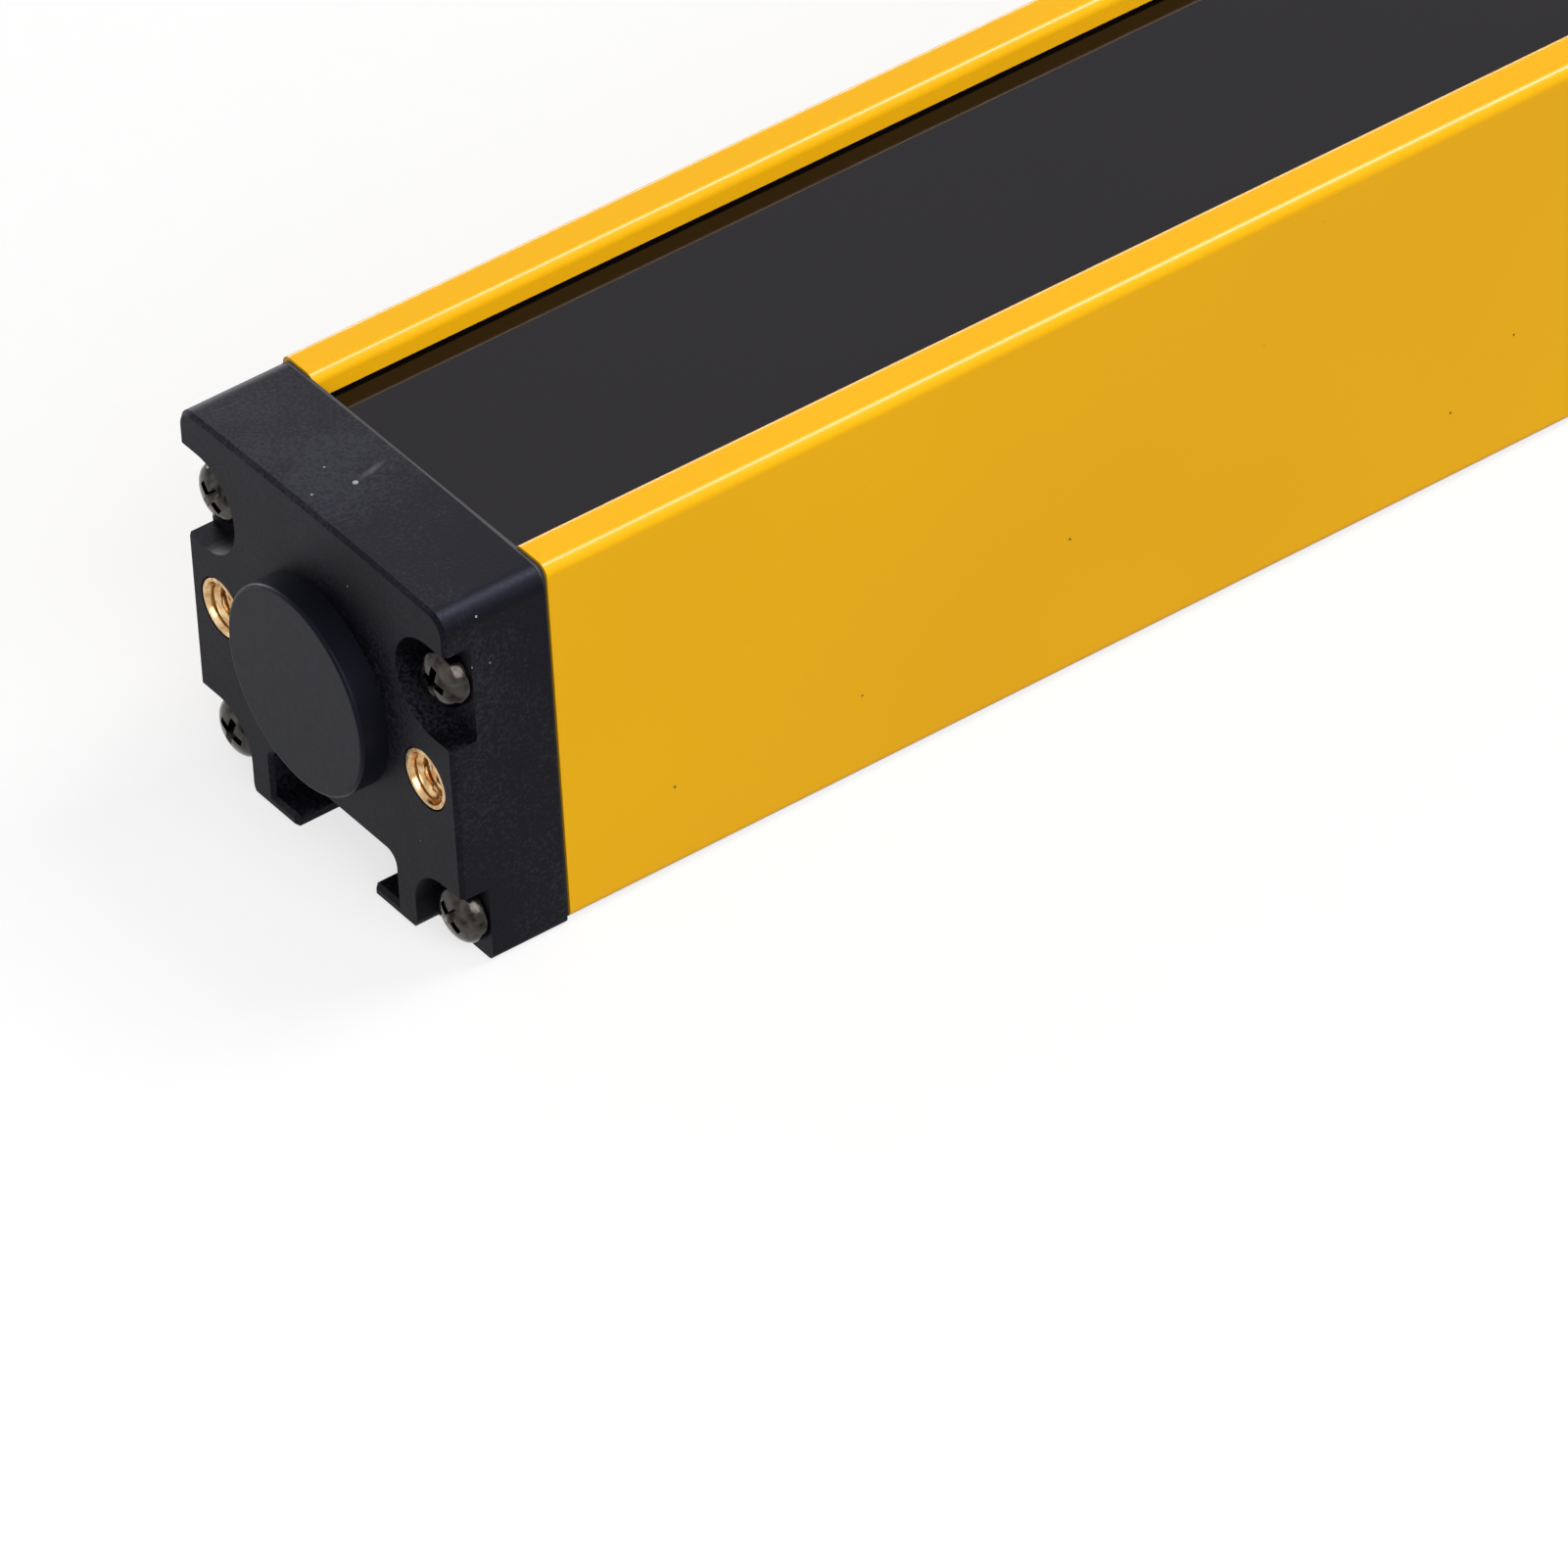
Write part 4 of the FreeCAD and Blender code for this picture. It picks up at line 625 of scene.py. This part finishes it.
class LIGHTCURTAIN_OT_cap_screws(bpy.types.Operator):
    """Form the pan head screws with a rounded head and a cross recess"""
    bl_idname = "lightcurtain.cap_screws"
    bl_label = "Cap screws"

    def head_and_shank(self, settings, length, shank):
        """The screw without its recess: domed head, short underside, threaded shank."""
        head, height = settings.head_radius, settings.head_height
        dome_steps, dome_share, crown, flank = 8, 0.7125, 1.15, 0.92
        edge, run_out, pitch = 0.12 * MM, 0.2 * MM, 0.5 * MM
        root, point = shank * 0.82, shank * 0.7
        rings = [(0, 0)]
        for step in range(1, dome_steps + 1):
            turn = math.radians(90) * step / dome_steps
            rings.append((dome_share * height * (1 - math.cos(turn)) ** crown,
                          head * math.sin(turn) ** flank))
        rings += [(height - edge, head), (height, head - edge), (height, shank)]
        rings += thread_rings(height + run_out, length - run_out, root, shank, pitch, samples=5)
        rings += [(length, point), (length, 0)]
        return ring_mesh("screw_blank", rings, steps=48, closed=False)

    def cross(self, settings):
        """The solid of a driver's tip: two tapered wings that cross."""
        shape = bmesh.new()
        reach, wing, depth = settings.drive_reach, settings.drive_wing, settings.drive_depth
        # how far in, and a wing's reach and half thickness there: above the head, where the
        # wings turn in, and at the tip
        sections = ((-0.6 * MM, reach * 1.05, wing * 1.15),
                    (depth * 0.62, reach * 0.62, wing * 0.9),
                    (depth, reach * 0.2, wing * 0.6))
        for across in (True, False):
            rows = []
            for along, wide, thick in sections:
                sides = (wide, thick) if across else (thick, wide)
                rows.append([shape.verts.new((along, y * sides[0], z * sides[1]))
                             for y, z in ((-1, -1), (1, -1), (1, 1), (-1, 1))])
            shape.faces.new(rows[0])
            shape.faces.new(rows[-1])
            for one, other in zip(rows, rows[1:]):
                for i in range(4):
                    shape.faces.new([one[i], one[(i + 1) % 4], other[(i + 1) % 4], other[i]])
        bmesh.ops.recalc_face_normals(shape, faces=shape.faces)
        mesh = bpy.data.meshes.new("driver_tip")
        shape.to_mesh(mesh)
        shape.free()
        return mesh

    def recessed(self, blank, tip):
        """The blank with the driver's tip pressed out of its head."""
        screw = bpy.data.objects.new("screw_blank", blank)
        cutter = bpy.data.objects.new("driver_tip", tip)
        for item in (screw, cutter):
            bpy.context.scene.collection.objects.link(item)
        cut = screw.modifiers.new("recess", "BOOLEAN")
        cut.operation = "DIFFERENCE"
        cut.solver = "EXACT"
        cut.use_self = True
        cut.object = cutter
        seen = screw.evaluated_get(bpy.context.evaluated_depsgraph_get())
        mesh = bpy.data.meshes.new_from_object(seen)
        for item in (screw, cutter):
            bpy.data.objects.remove(item)
        if len(mesh.polygons) == len(blank.polygons):
            raise RuntimeError("the screw's cross recess did not cut")
        return mesh

    def execute(self, context):
        settings = context.scene.light_curtain
        low, high = (Vector(corner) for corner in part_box("cap_screw_near_upper_left"))
        shank = 1.5 * MM
        blank = self.head_and_shank(settings, high.x - low.x, shank)
        formed = self.recessed(blank, self.cross(settings))
        for end, sign in ENDS:
            for corner, stop in SCREW_STOPS.items():
                node = f"cap_screw_{end}_{corner}"
                low, high = (Vector(place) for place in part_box(node))
                middle = middle_of(node)
                face = low.x if sign < 0 else high.x
                mesh = formed.copy()
                mesh.transform(facing(sign, (face, middle.y, middle.z))
                               @ Matrix.Rotation(math.radians(stop), 4, "X"))
                smooth(mesh, 35)
                new_piece(f"screw_{end}_{corner}", mesh, "black_nickel_steel", [node])
        bpy.data.meshes.remove(formed)
        return {"FINISHED"}


class LIGHTCURTAIN_OT_inlet(bpy.types.Operator):
    """Cut the inlet's M12 thread and the key in its mouth"""
    bl_idname = "lightcurtain.inlet"
    bl_label = "Threaded inlet"

    def execute(self, context):
        settings = context.scene.light_curtain
        low, high = (Vector(corner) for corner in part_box("inlet_shell"))
        middle = middle_of("inlet_shell")
        flange = (high.z - low.z) / 2
        length = high.x - low.x
        thread, bore, neck = 6 * MM, 4.4 * MM, 5.2 * MM
        flange_back = 11 * MM
        flange_front = flange_back - 2.5 * MM
        neck_length, edge, run_out = 1.0 * MM, 0.25 * MM, 0.3 * MM
        root = thread - settings.inlet_thread_depth
        rib_height, rib_half_turn = 0.5 * MM, 0.14
        rib_front, rib_back, rib_fade = 0.5 * MM, 5 * MM, 6 * MM

        def coded_wall(turn):
            """The inside wall, with the coding rib at its top."""
            off = abs((turn - math.pi / 2 + math.pi) % (2 * math.pi) - math.pi)
            return bore - (rib_height if off < rib_half_turn else 0)

        rings = [(edge, bore + edge), (0, bore + 0.35 * MM), (0, root - 0.1 * MM)]
        rings += thread_rings(0.35 * MM, flange_front - neck_length - 0.1 * MM, root, thread,
                              settings.inlet_pitch)
        rings += [(flange_front - neck_length, neck), (flange_front, neck),
                  (flange_front, flange - edge), (flange_front + edge, flange),
                  (flange_back, flange), (flange_back, thread)]
        rings += thread_rings(flange_back + run_out, length - run_out, root, thread,
                              settings.inlet_pitch)
        rings += [(length, root), (length, bore), (rib_fade, bore),
                  (rib_back, coded_wall), (rib_front, coded_wall)]
        mesh = ring_mesh("inlet_turned", rings, steps=96, closed=True)
        mesh.transform(facing(1, (high.x, middle.y, middle.z)))
        smooth(mesh, 35)
        new_piece("inlet_threaded_shell", mesh, "nickel_plating", ["inlet_shell"])
        return {"FINISHED"}


class LIGHTCURTAIN_OT_stage(bpy.types.Operator):
    """Set the pale floor, the soft lights, the surroundings and the camera"""
    bl_idname = "lightcurtain.stage"
    bl_label = "Studio"

    def seen_directly(self, tree):
        """1 for rays that show a surface to the eye, straight or by a mirror or glass."""
        path = add_node(tree, "ShaderNodeLightPath")
        shown = add_node(tree, "ShaderNodeMath", {"operation": "ADD", "use_clamp": True},
                         {0: path.outputs["Is Camera Ray"], 1: path.outputs["Is Glossy Ray"]})
        return add_node(tree, "ShaderNodeMath", {"operation": "ADD", "use_clamp": True},
                        {0: shown.outputs[0], 1: path.outputs["Is Transmission Ray"]}).outputs[0]

    def make_floor(self):
        """Pale paper sweep: dull white that keeps the bar's soft shadow."""
        material, tree, place = new_material("white_paper")
        fibre = add_node(tree, "ShaderNodeTexNoise", None,
                         {"Vector": place, "Scale": per_metre(3), "Detail": 3.0})
        shade = add_node(tree, "ShaderNodeValToRGB", None, {"Fac": fibre.outputs["Fac"]})
        shade.color_ramp.elements[0].color = hex_colour("#F6F6F6")
        shade.color_ramp.elements[1].color = hex_colour("#FCFCFC")
        seen = self.seen_directly(tree)
        # the paper hands back little light of its own, as if it lay far below the bar
        colour = add_node(tree, "ShaderNodeMix", {"data_type": "RGBA"},
                          {"Factor": seen, "A": hex_colour("#626262"), "B": shade.outputs["Color"]})
        paper = add_node(tree, "ShaderNodeBsdfDiffuse", None, {"Color": colour.outputs["Result"]})
        glow = add_node(tree, "ShaderNodeEmission", None,
                        {"Color": (1, 1, 1, 1), "Strength": 1.0})
        share = add_node(tree, "ShaderNodeMath", {"operation": "MULTIPLY"},
                         {0: seen, 1: PAPER_GLOW})
        mix = add_node(tree, "ShaderNodeMixShader", None,
                       {0: share.outputs[0], 1: paper.outputs[0], 2: glow.outputs[0]})
        add_node(tree, "ShaderNodeOutputMaterial", None, {"Surface": mix.outputs["Shader"]})
        mesh = bpy.data.meshes.new("floor")
        half, height = 6.0, CAD_BOX[0][2] - 0.05 * MM
        mesh.from_pydata([(-half, -half, height), (half, -half, height),
                          (half, half, height), (-half, half, height)], [], [(0, 1, 2, 3)])
        floor = bpy.data.objects.new("floor", mesh)
        bpy.context.scene.collection.objects.link(floor)
        mesh.materials.append(material)

    def make_world(self):
        """White surroundings for the eye, and an even soft light for the bar."""
        world = bpy.data.worlds.new("studio")
        bpy.context.scene.world = world
        world.use_nodes = True
        tree = world.node_tree
        tree.nodes.clear()
        strength = add_node(tree, "ShaderNodeMapRange", None,
                            {"Value": self.seen_directly(tree),
                             "To Min": SOFT_LIGHT, "To Max": 1.0})
        light = add_node(tree, "ShaderNodeBackground", None,
                         {"Color": (1, 1, 1, 1), "Strength": strength.outputs["Result"]})
        add_node(tree, "ShaderNodeOutputWorld", None, {"Surface": light.outputs["Background"]})

    def make_light(self, name, towards, distance, size, watts):
        """A soft panel that faces the bar from a direction."""
        lamp = bpy.data.lights.new(name, "AREA")
        lamp.shape = "RECTANGLE"
        lamp.size, lamp.size_y = size
        lamp.energy = watts
        holder = bpy.data.objects.new(name, lamp)
        bpy.context.scene.collection.objects.link(holder)
        way = Vector(towards).normalized()
        holder.location = way * distance
        holder.rotation_euler = way.to_track_quat("Z", "Y").to_euler()
        return holder

    def make_camera(self):
        """The camera: a long lens, looking down the bar from its blanked end."""
        lens = bpy.data.cameras.new("camera")
        lens.sensor_width = SENSOR_WIDTH
        lens.lens = FOCAL_LENGTH
        lens.clip_end = 20
        camera = bpy.data.objects.new("camera", lens)
        bpy.context.scene.collection.objects.link(camera)
        right = Vector(CAMERA_RIGHT).normalized()
        up = Vector(CAMERA_UP)
        up = (up - right * up.dot(right)).normalized()
        back = right.cross(up)
        turn = Matrix((right, up, back)).transposed().to_4x4()
        camera.matrix_world = Matrix.Translation(CAMERA_PLACE) @ turn
        bpy.context.scene.camera = camera

    def execute(self, context):
        self.make_floor()
        self.make_world()
        for panel in PANELS:
            self.make_light(*panel)
        # the narrow panel only draws the bright line along the rails' rounded edges
        sheen = self.make_light(*EDGE_PANEL)
        sheen.visible_diffuse = False
        self.make_camera()
        context.scene.view_settings.view_transform = "Standard"
        return {"FINISHED"}


class LIGHTCURTAIN_PT_panel(bpy.types.Panel):
    """The pieces of the light curtain, in the order that they are made"""
    bl_idname = "LIGHTCURTAIN_PT_panel"
    bl_label = "Light Curtain"
    bl_space_type = "VIEW_3D"
    bl_region_type = "UI"
    bl_category = "Light Curtain"

    def draw(self, context):
        settings = context.scene.light_curtain
        for name in settings.bl_rna.properties.keys():
            if name not in ("rna_type", "name"):
                self.layout.prop(settings, name)
        for operator in OPERATORS:
            self.layout.operator(operator.bl_idname)


OPERATORS = (
    LIGHTCURTAIN_OT_finishes,
    LIGHTCURTAIN_OT_inserts,
    LIGHTCURTAIN_OT_cap_screws,
    LIGHTCURTAIN_OT_inlet,
    LIGHTCURTAIN_OT_stage,
)
CLASSES = (LightCurtainSettings, *OPERATORS, LIGHTCURTAIN_PT_panel)


def register():
    """Add the settings, the operators and the panel."""
    for item in CLASSES:
        bpy.utils.register_class(item)
    bpy.types.Scene.light_curtain = bpy.props.PointerProperty(type=LightCurtainSettings)


def unregister():
    """Take them away again."""
    del bpy.types.Scene.light_curtain
    for item in reversed(CLASSES):
        bpy.utils.unregister_class(item)


def main():
    """Make every piece, then the studio."""
    register()
    bpy.ops.lightcurtain.finishes()
    bpy.ops.lightcurtain.inserts()
    bpy.ops.lightcurtain.cap_screws()
    bpy.ops.lightcurtain.inlet()
    bpy.ops.lightcurtain.stage()


if __name__ == "__main__":
    main()
